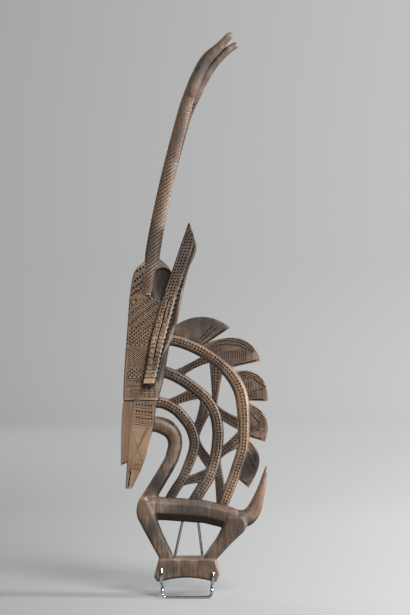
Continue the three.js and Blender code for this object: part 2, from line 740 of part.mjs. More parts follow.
function named(name, solid, material) {
  const { vertProperties, triVerts } = solid.getMesh();
  const geometry = new THREE.BufferGeometry();
  geometry.setAttribute('position', new THREE.BufferAttribute(vertProperties, 3));
  geometry.setIndex(new THREE.BufferAttribute(triVerts, 1));
  geometry.computeVertexNormals();
  const mesh = new THREE.Mesh(geometry, material);
  mesh.name = name;
  mesh.position.z = SEAT_HEIGHT;
  return mesh;
}

const group = new THREE.Group();
group.add(named('headdress', headdress(), wood));
group.add(named('cradle_wire', cradleWire(), chrome));
group.add(named('leg_wire', legWire(), chrome));

// The origin lies on the floor, under the middle of the whole object
const box = new THREE.Box3().setFromObject(group);
const middle = box.getCenter(new THREE.Vector3());
group.position.set(-middle.x, -middle.y, 0);

export default group;
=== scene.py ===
# %% [markdown]
# # A carved antelope headdress in a wire stand
#
# The real object is a dance headdress: an antelope cut from one piece of hard wood, with two
# long twisted horns, a long face, a pierced mane of ribs and leaves, and a small block under
# its feet. It stands in two bent chromed wires. This lesson builds the carving the way a
# carver would, first the rough forms and then the small cuts, and then it bends the wires.
#
# The first step loads the fixed frame, which is the measured CAD model. Everything that
# follows is placed from it.

import math

import bmesh
import bpy
import numpy as np
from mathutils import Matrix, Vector, geometry, noise
from mathutils.bvhtree import BVHTree


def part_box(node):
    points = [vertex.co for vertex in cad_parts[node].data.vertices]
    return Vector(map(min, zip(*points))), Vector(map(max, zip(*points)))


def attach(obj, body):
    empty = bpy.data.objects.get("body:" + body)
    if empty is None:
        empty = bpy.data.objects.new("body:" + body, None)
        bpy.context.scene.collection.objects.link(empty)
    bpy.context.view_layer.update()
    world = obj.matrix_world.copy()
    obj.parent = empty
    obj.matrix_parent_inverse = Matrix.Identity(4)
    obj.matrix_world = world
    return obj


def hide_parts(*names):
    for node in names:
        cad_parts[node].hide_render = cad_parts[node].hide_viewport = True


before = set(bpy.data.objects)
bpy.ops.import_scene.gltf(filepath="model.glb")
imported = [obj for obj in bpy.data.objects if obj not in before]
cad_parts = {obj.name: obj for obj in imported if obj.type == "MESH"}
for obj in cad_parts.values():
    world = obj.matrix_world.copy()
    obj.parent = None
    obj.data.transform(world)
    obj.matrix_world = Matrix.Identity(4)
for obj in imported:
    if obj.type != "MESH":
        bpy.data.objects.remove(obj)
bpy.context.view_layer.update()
print("CAD nodes:", sorted(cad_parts))

# %% [markdown]
# ## One unit for the whole drawing
#
# A carving is easiest to draw in millimetres from a place that means something. Here x runs
# along the animal from 0 over the middle of the block, y runs across it from its mid plane,
# and z is the height above the block's underside. Blender works in metres, so one function
# moves a finished piece into the frame. The move is read from the CAD node's own box, so the
# pieces follow the CAD if its size or place changes.

# %% Drawn millimetres to metres
NOSE_X = -114.0
DRAWN_REACH = 944.35

wood_low, wood_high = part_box("headdress")
METRES = (wood_high.z - wood_low.z) / DRAWN_REACH
ZERO = np.array([wood_low.x - NOSE_X * METRES, (wood_low.y + wood_high.y) / 2, wood_low.z])


def vertex_values(piece, name="co"):
    """Three numbers for each vertex of a piece: its place, or its normal."""
    values = np.empty(len(piece.data.vertices) * 3)
    piece.data.vertices.foreach_get(name, values)
    return values.reshape(-1, 3)


def put_in_frame(piece, node):
    """Turns a piece's drawn millimetres into metres, inside the box of its CAD node."""
    points = np.clip(vertex_values(piece) * METRES + ZERO, *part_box(node))
    piece.data.vertices.foreach_set("co", points.ravel())
    piece.data.update()


print("one drawn millimetre is", round(METRES, 7), "m")

# %% [markdown]
# ## Closed solids from rings
#
# Nearly every part of the carving is a rod or a slab whose section changes along its length:
# a horn, a rib, the neck. Blender could draw these as curves with a bevel, or skin a chain of
# vertices. Rings of points give more control, because each ring can have its own size and
# twist. A loft joins ring to ring and closes both ends. Each four-sided facet is split along
# its shorter diagonal, which lets the facets follow a twist instead of cutting across it.

# %% The loft
def new_object(name, data):
    """An object in the scene that shows a mesh, a lamp or a camera."""
    made = bpy.data.objects.new(name, data)
    bpy.context.scene.collection.objects.link(made)
    return made


def new_piece(name, points, triangles):
    """A mesh object from points and triangles, with its faces turned outwards."""
    points = np.asarray(points, float)
    triangles = np.asarray(triangles, int)
    a, b, c = (points[triangles[:, i]] for i in range(3))
    if np.einsum("ij,ij->i", a, np.cross(b, c)).sum() < 0:
        triangles = triangles[:, ::-1]
    mesh = bpy.data.meshes.new(name)
    mesh.from_pydata(points.tolist(), [], triangles.tolist())
    return new_object(name, mesh)


def walls_between(rings):
    """Triangles that join each ring of points to the next."""
    rows, count, _ = rings.shape
    points = rings.reshape(-1, 3)
    here = np.arange(rows * count).reshape(rows, count)
    beside = np.roll(here, -1, axis=1)
    a, b, c, d = here[:-1].ravel(), beside[:-1].ravel(), beside[1:].ravel(), here[1:].ravel()
    one_way = np.linalg.norm(points[a] - points[c], axis=1)
    other_way = np.linalg.norm(points[b] - points[d], axis=1)
    split = (one_way <= other_way + 1e-6)[:, None]
    first = np.where(split, np.stack([a, b, c], 1), np.stack([a, b, d], 1))
    second = np.where(split, np.stack([a, c, d], 1), np.stack([b, c, d], 1))
    return np.concatenate([first, second])


def loft(name, rings):
    """A closed solid through rings of points that all have the same count."""
    rings = np.asarray(rings, float)
    rows, count, _ = rings.shape
    middles = rings[[0, -1]].mean(1)
    points = np.concatenate([rings.reshape(-1, 3), middles])
    rim = np.arange(count)
    following = np.roll(rim, -1)
    first_end = np.stack([following, rim, np.full(count, rows * count)], 1)
    top = (rows - 1) * count
    last_end = np.stack([rim + top, following + top, np.full(count, rows * count + 1)], 1)
    return new_piece(name, points, np.concatenate([walls_between(rings), first_end, last_end]))


# %% [markdown]
# ## Joining and cutting
#
# A carver only takes away, but a modeller may also add. The Boolean modifier does both. Its
# Manifold solver is used throughout, because every solid here is closed and it is many times
# faster than the Exact one. The result is read from the evaluated object, so that no
# operator or selection is needed.

# %% Boolean steps
def work_on(piece, tool, action):
    """Joins a tool to a piece or cuts it away, and removes the tool."""
    step = piece.modifiers.new(action, "BOOLEAN")
    step.operation = action
    step.solver = "MANIFOLD"
    step.object = tool
    before = len(piece.data.vertices)
    settle(piece)
    if len(piece.data.vertices) == before:
        print("no change from the tool", tool.name)
    old = tool.data
    bpy.data.objects.remove(tool)
    bpy.data.meshes.remove(old)
    return piece


def settle(piece):
    """Applies a piece's modifiers to its mesh."""
    graph = bpy.context.evaluated_depsgraph_get()
    graph.update()
    done = bpy.data.meshes.new_from_object(piece.evaluated_get(graph))
    old = piece.data
    piece.modifiers.clear()
    piece.data = done
    bpy.data.meshes.remove(old)


def join_all(pieces):
    """Fuses closed solids into the first one."""
    body, *rest = pieces
    for other in rest:
        work_on(body, other, "UNION")
    return body


def mirrored(piece):
    """The same solid on the other side of the mid plane."""
    twin = new_object(piece.name, piece.data.copy())
    shape = bmesh.new()
    shape.from_mesh(twin.data)
    bmesh.ops.scale(shape, vec=(1, -1, 1), verts=shape.verts)
    bmesh.ops.reverse_faces(shape, faces=shape.faces)
    shape.to_mesh(twin.data)
    shape.free()
    return twin


# %% [markdown]
# ## Smooth curves through a few points
#
# The centre line of a horn or a rib is a spline through the places where its direction
# changes, and its width is a short table read with a smooth curve. The tables are those of the
# CAD model, a few of them refined, but here they are read at many more places, so edges that
# are faceted in the CAD come out round.

# %% Splines
def unit(vectors):
    """Vectors of length one that point the same ways."""
    return vectors / np.linalg.norm(vectors, axis=-1, keepdims=True)


def run_along(chain):
    """The length run at each point of a chain."""
    return np.concatenate([[0], np.cumsum(np.linalg.norm(np.diff(chain, axis=0), axis=1))])


def spline(points, shares):
    """Places on a Catmull-Rom curve through points. Shares run from 0 to 1, evenly by point."""
    points = np.asarray(points, float)
    last = len(points) - 1
    where = np.clip(shares, 0, 1) * last
    base = np.floor(where).astype(int)
    w = (where - base)[:, None]
    p0, p1 = points[np.maximum(base - 1, 0)], points[base]
    p2, p3 = points[np.minimum(base + 1, last)], points[np.minimum(base + 2, last)]
    v0, v1 = (p2 - p0) / 2, (p3 - p1) / 2
    return (2 * p1 - 2 * p2 + v0 + v1) * w**3 + (-3 * p1 + 3 * p2 - 2 * v0 - v1) * w**2 + v0 * w + p1


def measured(points):
    """Fine shares of a curve, and the length run at each of them."""
    fine = np.linspace(0, 1, 3000)
    return fine, run_along(spline(points, fine))


def along_curve(points, spacing):
    """Evenly spaced places on the curve with directions and shares, and the curve's length."""
    fine, run = measured(points)
    steps = max(2, round(run[-1] / spacing))
    return on_curve(points, np.interp(np.linspace(0, run[-1], steps + 1), run, fine)), run[-1]


def on_curve(points, shares):
    """Places and unit directions on the curve at the given shares."""
    nudge = 1e-4
    before, after = np.clip(shares - nudge, 0, 1), np.clip(shares + nudge, 0, 1)
    direction = spline(points, after) - spline(points, before)
    return spline(points, shares), unit(direction), shares


# %% Tables and sweeps
def read(rows, at):
    """Straight-line reading of a table of position and value."""
    table = np.asarray(rows, float)
    return np.interp(at, table[:, 0], table[:, 1])


def read_smooth(rows, at):
    """Smooth reading of a table whose rows are a position and any number of values."""
    table = np.asarray(rows, float)
    table = table[np.argsort(table[:, 0])]
    x, y = table[:, 0], table[:, 1:]
    gap = np.diff(x)[:, None]
    rise = np.diff(y, axis=0) / gap
    slope = np.zeros_like(y)
    same_way = rise[:-1] * rise[1:] > 0
    slope[1:-1] = np.where(same_way, 2 * rise[:-1] * rise[1:] / (rise[:-1] + rise[1:] + 1e-12), 0)
    slope[0], slope[-1] = rise[0], rise[-1]
    at = np.clip(at, x[0], x[-1])
    i = np.clip(np.searchsorted(x, at) - 1, 0, len(x) - 2)
    t = ((at - x[i]) / np.diff(x)[i])[:, None]
    h00, h10 = 2 * t**3 - 3 * t**2 + 1, t**3 - 2 * t**2 + t
    h01, h11 = -2 * t**3 + 3 * t**2, t**3 - t**2
    return h00 * y[i] + h10 * gap[i] * slope[i] + h01 * y[i + 1] + h11 * gap[i] * slope[i + 1]


def sweep(name, track, section_at):
    """A solid along a curve in the xz plane. A section's first number lies in that plane."""
    places, directions, shares = track
    rings = []
    for place, direction, share in zip(places, directions, shares):
        section = np.asarray(section_at(share))
        x = place[0] - direction[1] * section[:, 0]
        z = place[1] + direction[0] * section[:, 0]
        rings.append(np.stack([x, section[:, 1], z], 1))
    return loft(name, rings)


def oval(half_width, half_thickness, count):
    """A ring of points on an ellipse."""
    angle = (np.arange(count) + 0.5) / count * 2 * math.pi
    return np.stack([half_width * np.cos(angle), half_thickness * np.sin(angle)], 1)


# %% [markdown]
# ## Flat boards with eased edges
#
# The legs, the struts and the leaves are flat boards. Blender's Solidify and Bevel modifiers
# could make them, but a bevel on a spline outline often tangles at a tight corner. Here the
# outline is moved inwards by hand, step by step along a quarter circle, so the edge is eased
# all the way round and the sharp corners stay short.

# %% The board
SHORTEST_CORNER = 0.7071
CLOSEST_POINTS = 0.15


def inset(outline, distance):
    """A counter-clockwise outline moved inwards, with sharp corners kept short."""
    arriving = unit(outline - np.roll(outline, 1, axis=0))
    leaving = np.roll(arriving, -1, axis=0)
    first, second = (np.stack([-edge[:, 1], edge[:, 0]], 1) for edge in (arriving, leaving))
    middle = unit(first + second)
    stretch = 1 / np.maximum(np.einsum("ij,ij->i", middle, first), SHORTEST_CORNER)
    return outline + middle * (stretch * distance)[:, None]


def board(name, outline, y_from, y_to, edge, steps=3):
    """A slab with its outline in the xz plane. One step gives a chamfer, three a round edge."""
    outline = np.asarray(outline, float)
    apart = np.linalg.norm(outline - np.roll(outline, 1, axis=0), axis=1)
    outline = outline[apart > CLOSEST_POINTS]
    x, z = outline.T
    if (x * np.roll(z, -1) - np.roll(x, -1) * z).sum() < 0:
        outline = outline[::-1]
    turns = np.linspace(0, math.pi / 2, steps + 1)
    levels = [(edge * (1 - math.sin(a)), edge * (1 - math.cos(a))) for a in turns]
    stops = [(i, y_from + d) for i, d in levels] + [(i, y_to - d) for i, d in levels[::-1]]
    rings = []
    for inwards, y in stops:
        ring = inset(outline, inwards)
        rings.append(np.stack([ring[:, 0], np.full(len(ring), y), ring[:, 1]], 1))
    rings = np.array(rings)
    flat = inset(outline, edge)
    cap = np.array(geometry.tessellate_polygon([[Vector((*p, 0)) for p in flat]]))
    wall = walls_between(rings)
    near = cap_facing(flat, cap)
    far = near[:, ::-1] + (len(rings) - 1) * len(flat)
    return new_piece(name, rings.reshape(-1, 3), np.concatenate([wall, near, far]))


def cap_facing(flat, cap):
    """Cap triangles in the turning sense that suits the walls."""
    a, b, c = (flat[cap[:, i]] for i in range(3))
    turn = (b[:, 0] - a[:, 0]) * (c[:, 1] - a[:, 1]) - (b[:, 1] - a[:, 1]) * (c[:, 0] - a[:, 0])
    cap = np.where((turn > 0)[:, None], cap, cap[:, ::-1])
    return cap[:, ::-1]


# %% [markdown]
# ## Body, legs, neck and tail
#
# These parts are smooth on the real carving, with soft hollows where one runs into another,
# so they are made apart from the sharp ones. The rough solids are joined, and the Remesh
# modifier covers them with an even skin that a Smooth modifier then relaxes, as sandpaper
# would. A Decimate modifier takes away the small faces that a nearly flat place doesn't need.

# %% Rough solids of the body
BLOCK_TOP = 40.0
FOOT_SINK = 8.0
HALF_BODY = 21.0
BELLY_DROP = 39.0
RUMP_SHARE = 0.8
LEG_OUTSIDE = 23.5
LEG_BOARD = 19.0
LEG_EDGE = 4.0

back_line = [(-75, 144.5), (-40, 143), (29, 138), (70, 128), (86, 122)]


def body_bar():
    """The body: a level back, chamfered shoulders, upright flanks and a narrower belly."""
    rings = []
    for i, (x, z) in enumerate(back_line):
        deep = BELLY_DROP * (RUMP_SHARE if i == len(back_line) - 1 else 1)
        half = [(-13, 0), (-HALF_BODY, -8), (-HALF_BODY, -25), (-0.55 * HALF_BODY, -deep)]
        ring = half + [(-y, drop) for y, drop in half[::-1]]
        rings.append([(x, y, z + drop) for y, drop in ring])
    return loft("body", rings)


def leg_boards():
    """Two bent boards for the legs of the near side, and their twins."""
    sole, top = BLOCK_TOP - FOOT_SINK, BLOCK_TOP
    front = [(-70, 146), (-79, 143.5), (-85, 134.3), (-87.5, 120), (-85, 108), (-77, 92.6), (-62, 65),
             (-47.5, top - 1), (-45.5, sole), (-25.5, sole), (-24.5, top + 3),
             (-42, 78.7), (-52.6, 106.4), (-60, 124)]
    rear = [(68, 112), (64, 97), (50.9, 72), (28.5, top), (29.5, sole), (47.5, sole), (49.5, top - 4),
            (76.4, 64.9), (98.5, 85.5), (104, 97), (96, 112)]
    boards = []
    for outline in (front, rear):
        near = board("leg", outline, -LEG_OUTSIDE, -LEG_OUTSIDE + LEG_BOARD, LEG_EDGE)
        boards += [near, mirrored(near)]
    return boards


# %% Neck and tail
HALF_NECK = 12.5

neck_line = [(-74, 266), (-56, 269.5), (-38, 264.5), (-25, 253.5), (-20.3, 236), (-24, 218),
             (-29, 204.5), (-46.3, 174.5), (-64.5, 145), (-73, 131)]
neck_width = [(0, 25.3), (0.22, 29.9), (0.33, 28), (0.44, 25.5), (0.56, 24.6), (0.66, 24), (0.78, 24),
              (0.89, 25), (1, 26)]
tail_line = [(72, 107), (90, 105.5), (104, 108.5), (115.5, 121.5), (123.5, 142), (130.3, 164.5),
             (135.6, 188), (138, 198.8)]
tail_half_width = [(0, 13), (0.14, 16), (0.28, 15), (0.43, 13), (0.57, 9.6), (0.72, 6.4),
                   (0.86, 3.3), (1, 1.2)]
tail_half_thickness = [(0, 17), (0.22, 16.2), (0.42, 11.2), (0.65, 7.1), (0.86, 4.1), (1, 1.4)]


def neck():
    """An oval bar that bows from the back of the head to the chest."""
    track, _ = along_curve(neck_line, 4)
    return sweep("neck", track, lambda share: oval(read(neck_width, share) / 2, HALF_NECK, 24))


def tail():
    """An oval bar that turns up behind the body and thins to its tip."""
    track, _ = along_curve(tail_line, 4)
    return sweep("tail", track, lambda share: oval(
        read(tail_half_width, share), read(tail_half_thickness, share), 20))


# %% Skin and smooth them
SKIN_STEP = 1.8


def smooth_parts():
    """Body, legs, neck and tail under one skin."""
    solid = join_all([body_bar(), *leg_boards(), neck(), tail()])
    skin = solid.modifiers.new("skin", "REMESH")
    skin.mode = "VOXEL"
    skin.voxel_size = SKIN_STEP
    rub = solid.modifiers.new("rub", "SMOOTH")
    rub.factor = 0.5
    rub.iterations = 6
    thin = solid.modifiers.new("thin", "DECIMATE")
    thin.ratio = 0.3
    settle(solid)
    print("smooth parts:", len(solid.data.polygons), "faces")
    return solid


carving = smooth_parts()

# %% [markdown]
# ## The base block
#
# The feet stand on a block that is part of the same log. It is arched underneath, its ends
# flare outwards towards the floor, and its edges are knocked soft. A board does this, with
# its outline drawn from the front.

# %% Block
HALF_BLOCK = 56.5
HALF_BLOCK_TOP = 48.5
HALF_BLOCK_DEPTH = 30.0
BLOCK_FOOT = 12.0
BLOCK_EDGE = 4.0
ARCH_RISE = 6.8


def base_block():
    """A board whose underside is a flat arch, drawn as a Bezier curve of three points."""
    arch = HALF_BLOCK - BLOCK_FOOT
    share = np.linspace(0, 1, 17)[:, None]
    under = [(-arch, 0), (0, 2 * ARCH_RISE), (arch, 0)]
    curve = sum(weight * np.array(p) for weight, p in
                zip([(1 - share)**2, 2 * share * (1 - share), share**2], under))
    outline = [(-HALF_BLOCK + 6, 0), *curve, (HALF_BLOCK - 6, 0), (HALF_BLOCK, BLOCK_TOP * 0.3),
               (HALF_BLOCK_TOP + 1, BLOCK_TOP - 2), (HALF_BLOCK_TOP - 4, BLOCK_TOP),
               (-HALF_BLOCK_TOP + 4, BLOCK_TOP), (-HALF_BLOCK_TOP, BLOCK_TOP - 2),
               (-HALF_BLOCK, BLOCK_TOP * 0.18)]
    return board("block", outline, -HALF_BLOCK_DEPTH, HALF_BLOCK_DEPTH, BLOCK_EDGE)


work_on(carving, base_block(), "UNION")
print("with the block:", len(carving.data.polygons), "faces")

# %% [markdown]
# ## The head
#
# The face is a long wedge with flat sides, which carry most of the cut pattern. Its front and
# back edges are rows in a table, read smoothly, and each level is a rounded rectangle. The
# muzzle below it is a second wedge, thinner towards the chin. The nose is a strip along its
# front, a hair thinner so that a fine shadow parts the two. The mouth is a deep cut that comes
# later, with the rest of the pattern.

# %% Wedges for the brow and the muzzle
HALF_BROW = 25.0
HALF_CHIN = 8.5
CHIN_SHARE = 0.72
BROW_CORNER, MUZZLE_CORNER, NOSE_CORNER = 4.2, 2.4, 1.3

# Rows are height, front edge, back edge and, on the brow, the share of its full thickness
head_rows = [(555, -68, -48, 0.7), (544, -81, -34.5, 0.88), (533, -90.5, -27.6, 0.96),
             (515, -95, -23, 1), (480, -99.5, -22, 1), (430, -103, -27, 0.96),
             (380, -106.8, -34.6, 0.88), (345, -108.8, -40.8, 0.82), (312, -110, -49.6, 0.77)]
muzzle_rows = [(320, -92, -50), (306, -92.4, -52.5), (280, -96.5, -56), (256, -99.5, -60.2),
               (232, -101.4, -66.8), (207, -103.1, -73.6), (184, -104.6, -82.3),
               (166, -105.8, -91), (158, -106.3, -95)]


def level_ring(z, front, back, half, corner):
    """A level rounded rectangle, with deeper corners at the front."""
    turns = np.linspace(0, math.pi / 2, 4)
    ring = []
    for end, side, deep in ((back, 1, 1), (front, 1, 1.4), (front, -1, 1.4), (back, -1, 1)):
        outwards = 1 if end == back else -1
        cx, cy = end - outwards * corner, side * (half - corner * deep)
        swing = turns if outwards * side > 0 else turns[::-1]
        ring += [(cx + outwards * corner * math.cos(turn), cy + side * corner * deep * math.sin(turn), z)
                 for turn in swing]
    return ring


def brow_wedge():
    """The wedge that carries horns and ears, thickest at the brow."""
    heights = np.linspace(312, 555, 62)
    rings = [level_ring(z, front, back, thick * HALF_BROW, BROW_CORNER)
             for z, (front, back, thick) in zip(heights, read_smooth(head_rows, heights))]
    return loft("brow", rings)


def muzzle_half(z):
    """Half the muzzle's thickness at a height."""
    return np.interp(z, [158, 320], [HALF_CHIN, HALF_BROW * CHIN_SHARE])


def muzzle_wedge():
    """The thinner wedge below it, down to the chin."""
    heights = np.linspace(158, 320, 42)
    rings = [level_ring(z, front, back, muzzle_half(z), MUZZLE_CORNER)
             for z, (front, back) in zip(heights, read_smooth(muzzle_rows, heights))]
    return loft("muzzle", rings)


# %% Nose strip
NOSE_SETBACK = 1.2

# Rows are the height of the front edge, the height of the back edge, and both edges
nose_rows = [(318, 318, -104, -86), (311, 311, -109.2, -86), (292, 292, -111.4, -87),
             (262, 262, -113, -90), (230, 230, -113.8, -94), (198, 205, -114, -98)]


def nose_strip():
    """A thin strip whose lower end is cut at a slant."""
    rings = []
    for z in np.linspace(198, 318, 31):
        back_z, front, back = read_smooth(nose_rows, np.array([z]))[0]
        ring = level_ring(z, front, back, muzzle_half(z) - NOSE_SETBACK, NOSE_CORNER)
        rings.append([(x, y, z + (back_z - z) * (x - front) / (back - front)) for x, y, _ in ring])
    return loft("nose", rings)


# %% [markdown]
# Between the foot of each horn and the ear the carver scooped a long hollow. A stretched
# sphere cut away from the side leaves just such a scoop, deep in the middle and shallow at
# its ends.

# %% Hollows and the finished head
HOLLOW_SIZE = Vector((23, 12, 29))
HOLLOW_PLACE = Vector((-43, -HALF_BROW, 511))
HOLLOW_LEAN = 0.2


def scoop():
    """A stretched and leaning sphere that cuts the hollow of the near side."""
    shape = bmesh.new()
    bmesh.ops.create_uvsphere(shape, u_segments=40, v_segments=24, radius=1)
    cosine, sine = math.cos(HOLLOW_LEAN), math.sin(HOLLOW_LEAN)
    for vert in shape.verts:
        x, y, z = vert.co * HOLLOW_SIZE
        vert.co = Vector((x * cosine + z * sine, y, -x * sine + z * cosine)) + HOLLOW_PLACE
    mesh = bpy.data.meshes.new("scoop")
    shape.to_mesh(mesh)
    shape.free()
    return new_object("scoop", mesh)


def head():
    """The brow with its hollows, the muzzle and the nose in one."""
    brow, hollow = brow_wedge(), scoop()
    for tool in (mirrored(hollow), hollow):
        work_on(brow, tool, "DIFFERENCE")
    return join_all([brow, muzzle_wedge(), nose_strip()])


work_on(carving, head(), "UNION")
print("with the head:", len(carving.data.polygons), "faces")

# %% [markdown]
# ## The ears
#
# Each ear is a pointed board on the side of the head. Its face is flat, and behind the face
# a bevel drops to a raised rim, so each level has seven corners. Rings of those corners from
# the tip down to the free lower end make the whole ear, and the groove between the two
# strips of its lower half is a thin wedge cut away.

# %% Ears
EAR_FACE = -35.0
EAR_BEVEL = -27.0
EAR_BOARD = 15.0
EAR_SINK = 5.0
GROOVE_SHARE = 0.58

# Rows are height, front edge, end of the flat face, foot of the bevel and rim
ear_rows = [(616, 2.4, 3.4, 4.2, 5), (588, -7, 11.8, 12.6, 13.4), (580, -10, 9.4, 12.6, 16.2),
            (574, -12, 7.4, 11.5, 16.5), (538, -24.3, -4.5, 0, 3), (492, -40.5, -21, -13.5, -8),
            (446, -54, -33, -26.8, -17.5), (411, -63, -42.5, -37, -28.5),
            (384, -67.3, -48.7, -43.4, -42), (360, -71.8, -54, -47.8, -46.5),
            (341, -75.5, -59, -53.6, -52.6)]
head_share = [(z, share) for z, _, _, share in head_rows[::-1]]


def ear_at(z):
    """Front edge, end of the face, foot of the bevel and rim at a height."""
    return read_smooth(ear_rows, np.atleast_1d(float(z)))[0]


def near_ear():
    """The near ear from its free lower end to its tip, sunk into the side of the head."""
    rings = []
    for z in np.concatenate([np.arange(341, 574, 6), np.arange(574, 617, 3)]):
        front, face_end, bevel_foot, rim = ear_at(z)
        inner = max(EAR_FACE + EAR_BOARD, EAR_SINK - read(head_share, z) * HALF_BROW)
        crest = np.clip(rim - bevel_foot, 0.9, 3.8)
        corners = [(front, inner), (front, EAR_FACE + 2), (front + 1, EAR_FACE), (face_end, EAR_FACE),
                   (bevel_foot, EAR_BEVEL), (rim - crest * 0.8, EAR_BEVEL - crest * 0.5),
                   (rim, EAR_BEVEL + 1.5), (rim, inner)]
        rings.append([(x, y, z) for x, y in corners])
    return loft("ear", rings)


def ear_groove():
    """The wedge between the two strips, which thins out at both ends."""
    top, foot = 497, 372
    rings = []
    for z in np.linspace(top, foot, 24):
        front, face_end, _, _ = ear_at(z)
        middle = front * (1 - GROOVE_SHARE) + face_end * GROOVE_SHARE
        fade = 0.15 + 0.85 * min(1, (top - z) / 16, (z - foot) / 12)
        rings.append([(middle - 2 * fade, EAR_FACE - 1, z), (middle + 2 * fade, EAR_FACE - 1, z),
                      (middle, EAR_FACE + 3 * fade, z)])
    return loft("groove", rings)


near = work_on(near_ear(), ear_groove(), "DIFFERENCE")
for ear in (near, mirrored(near)):
    work_on(carving, ear, "UNION")

# %% [markdown]
# ## The horns
#
# The horns are round rods cut with nine spiral flutes, so they look like rope. A screw
# texture or a Displace modifier would blur the grooves, so the twist is in the mesh: the
# points of each ring turn a little further than those of the ring below, and each groove
# runs along a line of points. Above the flutes the horn is plain, with a ridge along its side
# where two cuts meet, and bends to its tip. On its front the upper flutes are worn away. The
# foot lies on the side of the head and stands out from it like a peg.

# %% Horns
HORN_WIDTH = 25.5
HORN_APART = 33.0
HORN_FLATNESS = 0.94
FOOT_PROUD = 3.6
FLUTES = 9
FLUTE_POINTS = 6
FLUTE_LEAD = 68.0
FLUTE_DEPTH = 1.9
FLUTED_SHARE = 0.725
RIDGE_TURN = math.radians(85)
RIDGE_RISE = 0.2
BROW_TOP = 560

# The tip starts to close at this share of the length, and ends at this share of its width
TIP_SHARE = 0.985
TIP_END = 0.35

# The rings lie a step apart on the flutes, which end within a short stretch
RING_STEP = 3.4
FLUTE_END = 1.5
PLAIN_RINGS = 22
LAST_RING = 0.9995

# Shares of the length between which the front wears smooth, and how uneven the horn is
FRONT_WORN = (0.48, 0.6)
UNEVENNESS = 0.12

# Width along the horn as a share of the full one, and the places that both horns share
horn_width = [(0, 0.36), (0.02, 0.6), (0.06, 0.84), (0.1, 0.96), (0.15, 1), (0.45, 0.93), (0.68, 0.86),
              (0.8, 0.84), (0.87, 0.8), (0.93, 0.62), (0.97, 0.5), (1, 0.44)]
horn_foot = [(-67, 492), (-66.5, 504), (-66, 519), (-64, 534), (-60.8, 550), (-58.3, 570), (-49.8, 618),
             (-31.7, 702)]
near_horn = horn_foot + [(-7, 800), (6, 840), (17.3, 868), (33, 897), (56, 920), (77, 943.2)]
far_horn = horn_foot + [(-4.5, 798), (12.5, 838), (26, 865), (43.2, 892.2), (64, 912), (88, 928)]


def smoothstep(value, low, high):
    """Runs softly from 0 at the low end to 1 at the high end."""
    share = np.clip((value - low) / (high - low), 0, 1)
    return share * share * (3 - 2 * share)


def horn_stations(length, fluted):
    """Where the rings stand: evenly along the flutes, and closer and closer to the tip."""
    start, stop = fluted + FLUTE_END, length * LAST_RING
    plain = start + (stop - start) * np.sin(np.linspace(0, math.pi / 2, PLAIN_RINGS))
    return np.concatenate([np.arange(0, fluted, RING_STEP), [fluted], plain])


# %% Twisted horns
def horn(points, side):
    """A horn through the points, twisted one way on the near side and the other on the far."""
    fine, run = measured(points)
    length = run[-1]
    fluted = FLUTED_SHARE * length
    stations = horn_stations(length, fluted)
    places, directions, _ = on_curve(points, np.interp(stations, run, fine))
    count = FLUTES * FLUTE_POINTS
    column = np.arange(count)
    groove = np.abs(np.sin(math.pi * column / FLUTE_POINTS))**3
    rings = []
    for s, place, direction in zip(stations, places, directions):
        share = s / length
        tip = max(0.0, (share - TIP_SHARE) / (1 - TIP_SHARE))
        width = read(horn_width, share)
        half = width * HORN_WIDTH / 2 * max(TIP_END, math.sqrt(1 - tip**2))
        angle = side * (column / count * 2 * math.pi + min(s, fluted) / FLUTE_LEAD * 2 * math.pi)
        worn = smoothstep(share, *FRONT_WORN) * smoothstep(np.cos(angle), -0.2, 0.6)
        depth = FLUTE_DEPTH * min(1, width * 1.6) * (1 - worn) * (s <= fluted)
        uneven = [UNEVENNESS * noise.noise(Vector((s * 0.05, math.cos(turn), math.sin(turn) + side)))
                  for turn in angle]
        ridge = smoothstep(s, fluted, fluted + 12) * smoothstep(share, 1.0, 0.93)
        crest = 1 - np.abs(np.sin(angle - side * RIDGE_TURN))
        radius = half * (1 + ridge * RIDGE_RISE * crest) - groove * depth + np.array(uneven)
        forward, outward = radius * np.cos(angle), radius * np.sin(angle) * HORN_FLATNESS
        on_face = read(head_share, place[1]) * HALF_BROW + FOOT_PROUD - half * HORN_FLATNESS
        middle = side * (max(HORN_APART / 2, on_face) if place[1] < BROW_TOP else HORN_APART / 2)
        rings.append(np.stack([place[0] - direction[1] * forward, middle + outward,
                               place[1] + direction[0] * forward], 1))
    return loft("horn", rings)


for points, side in ((near_horn, -1), (far_horn, 1)):
    work_on(carving, horn(points, side), "UNION")
print("with head, ears and horns:", len(carving.data.polygons), "faces")

# %% [markdown]
# ## Ribs of the mane
#
# Three arched ribs run from the back of the head down to the body. Each is a bar with a flat
# face and two slanting flanks, which is what makes one side of it catch the light while the
# other falls dark. The flat isn't in the middle: it lies nearer to the rib's outer side. A
# sweep along a spline makes the ribs.

# %% Ribs
# Each rib's middle line, from the head to the body
rib_lines = [
    [(-66, 306), (-50.7, 307), (-36.6, 304), (-19, 294), (-5.2, 279.6), (6.2, 263.2), (12.9, 242),
     (10.9, 222.5), (2.3, 199), (-7.5, 176), (-19.5, 158), (-31, 138), (-36, 126)],
    [(-58, 359), (-39.2, 359), (-24.2, 354), (-5.7, 344), (13, 330.5), (29, 317), (41, 302), (49, 285),
     (52.7, 266), (53.3, 245), (49.5, 214), (39, 181), (24.6, 157), (12.2, 136), (6.2, 124)],
    [(-44, 414), (-27, 414), (-9, 410), (11, 402), (29.5, 392.5), (50.5, 378), (69, 362), (83, 344),
     (92, 325), (96.5, 301), (98, 265), (95.5, 226), (87, 197), (78.5, 172), (68.3, 147), (59, 124),
     (55, 114)],
]


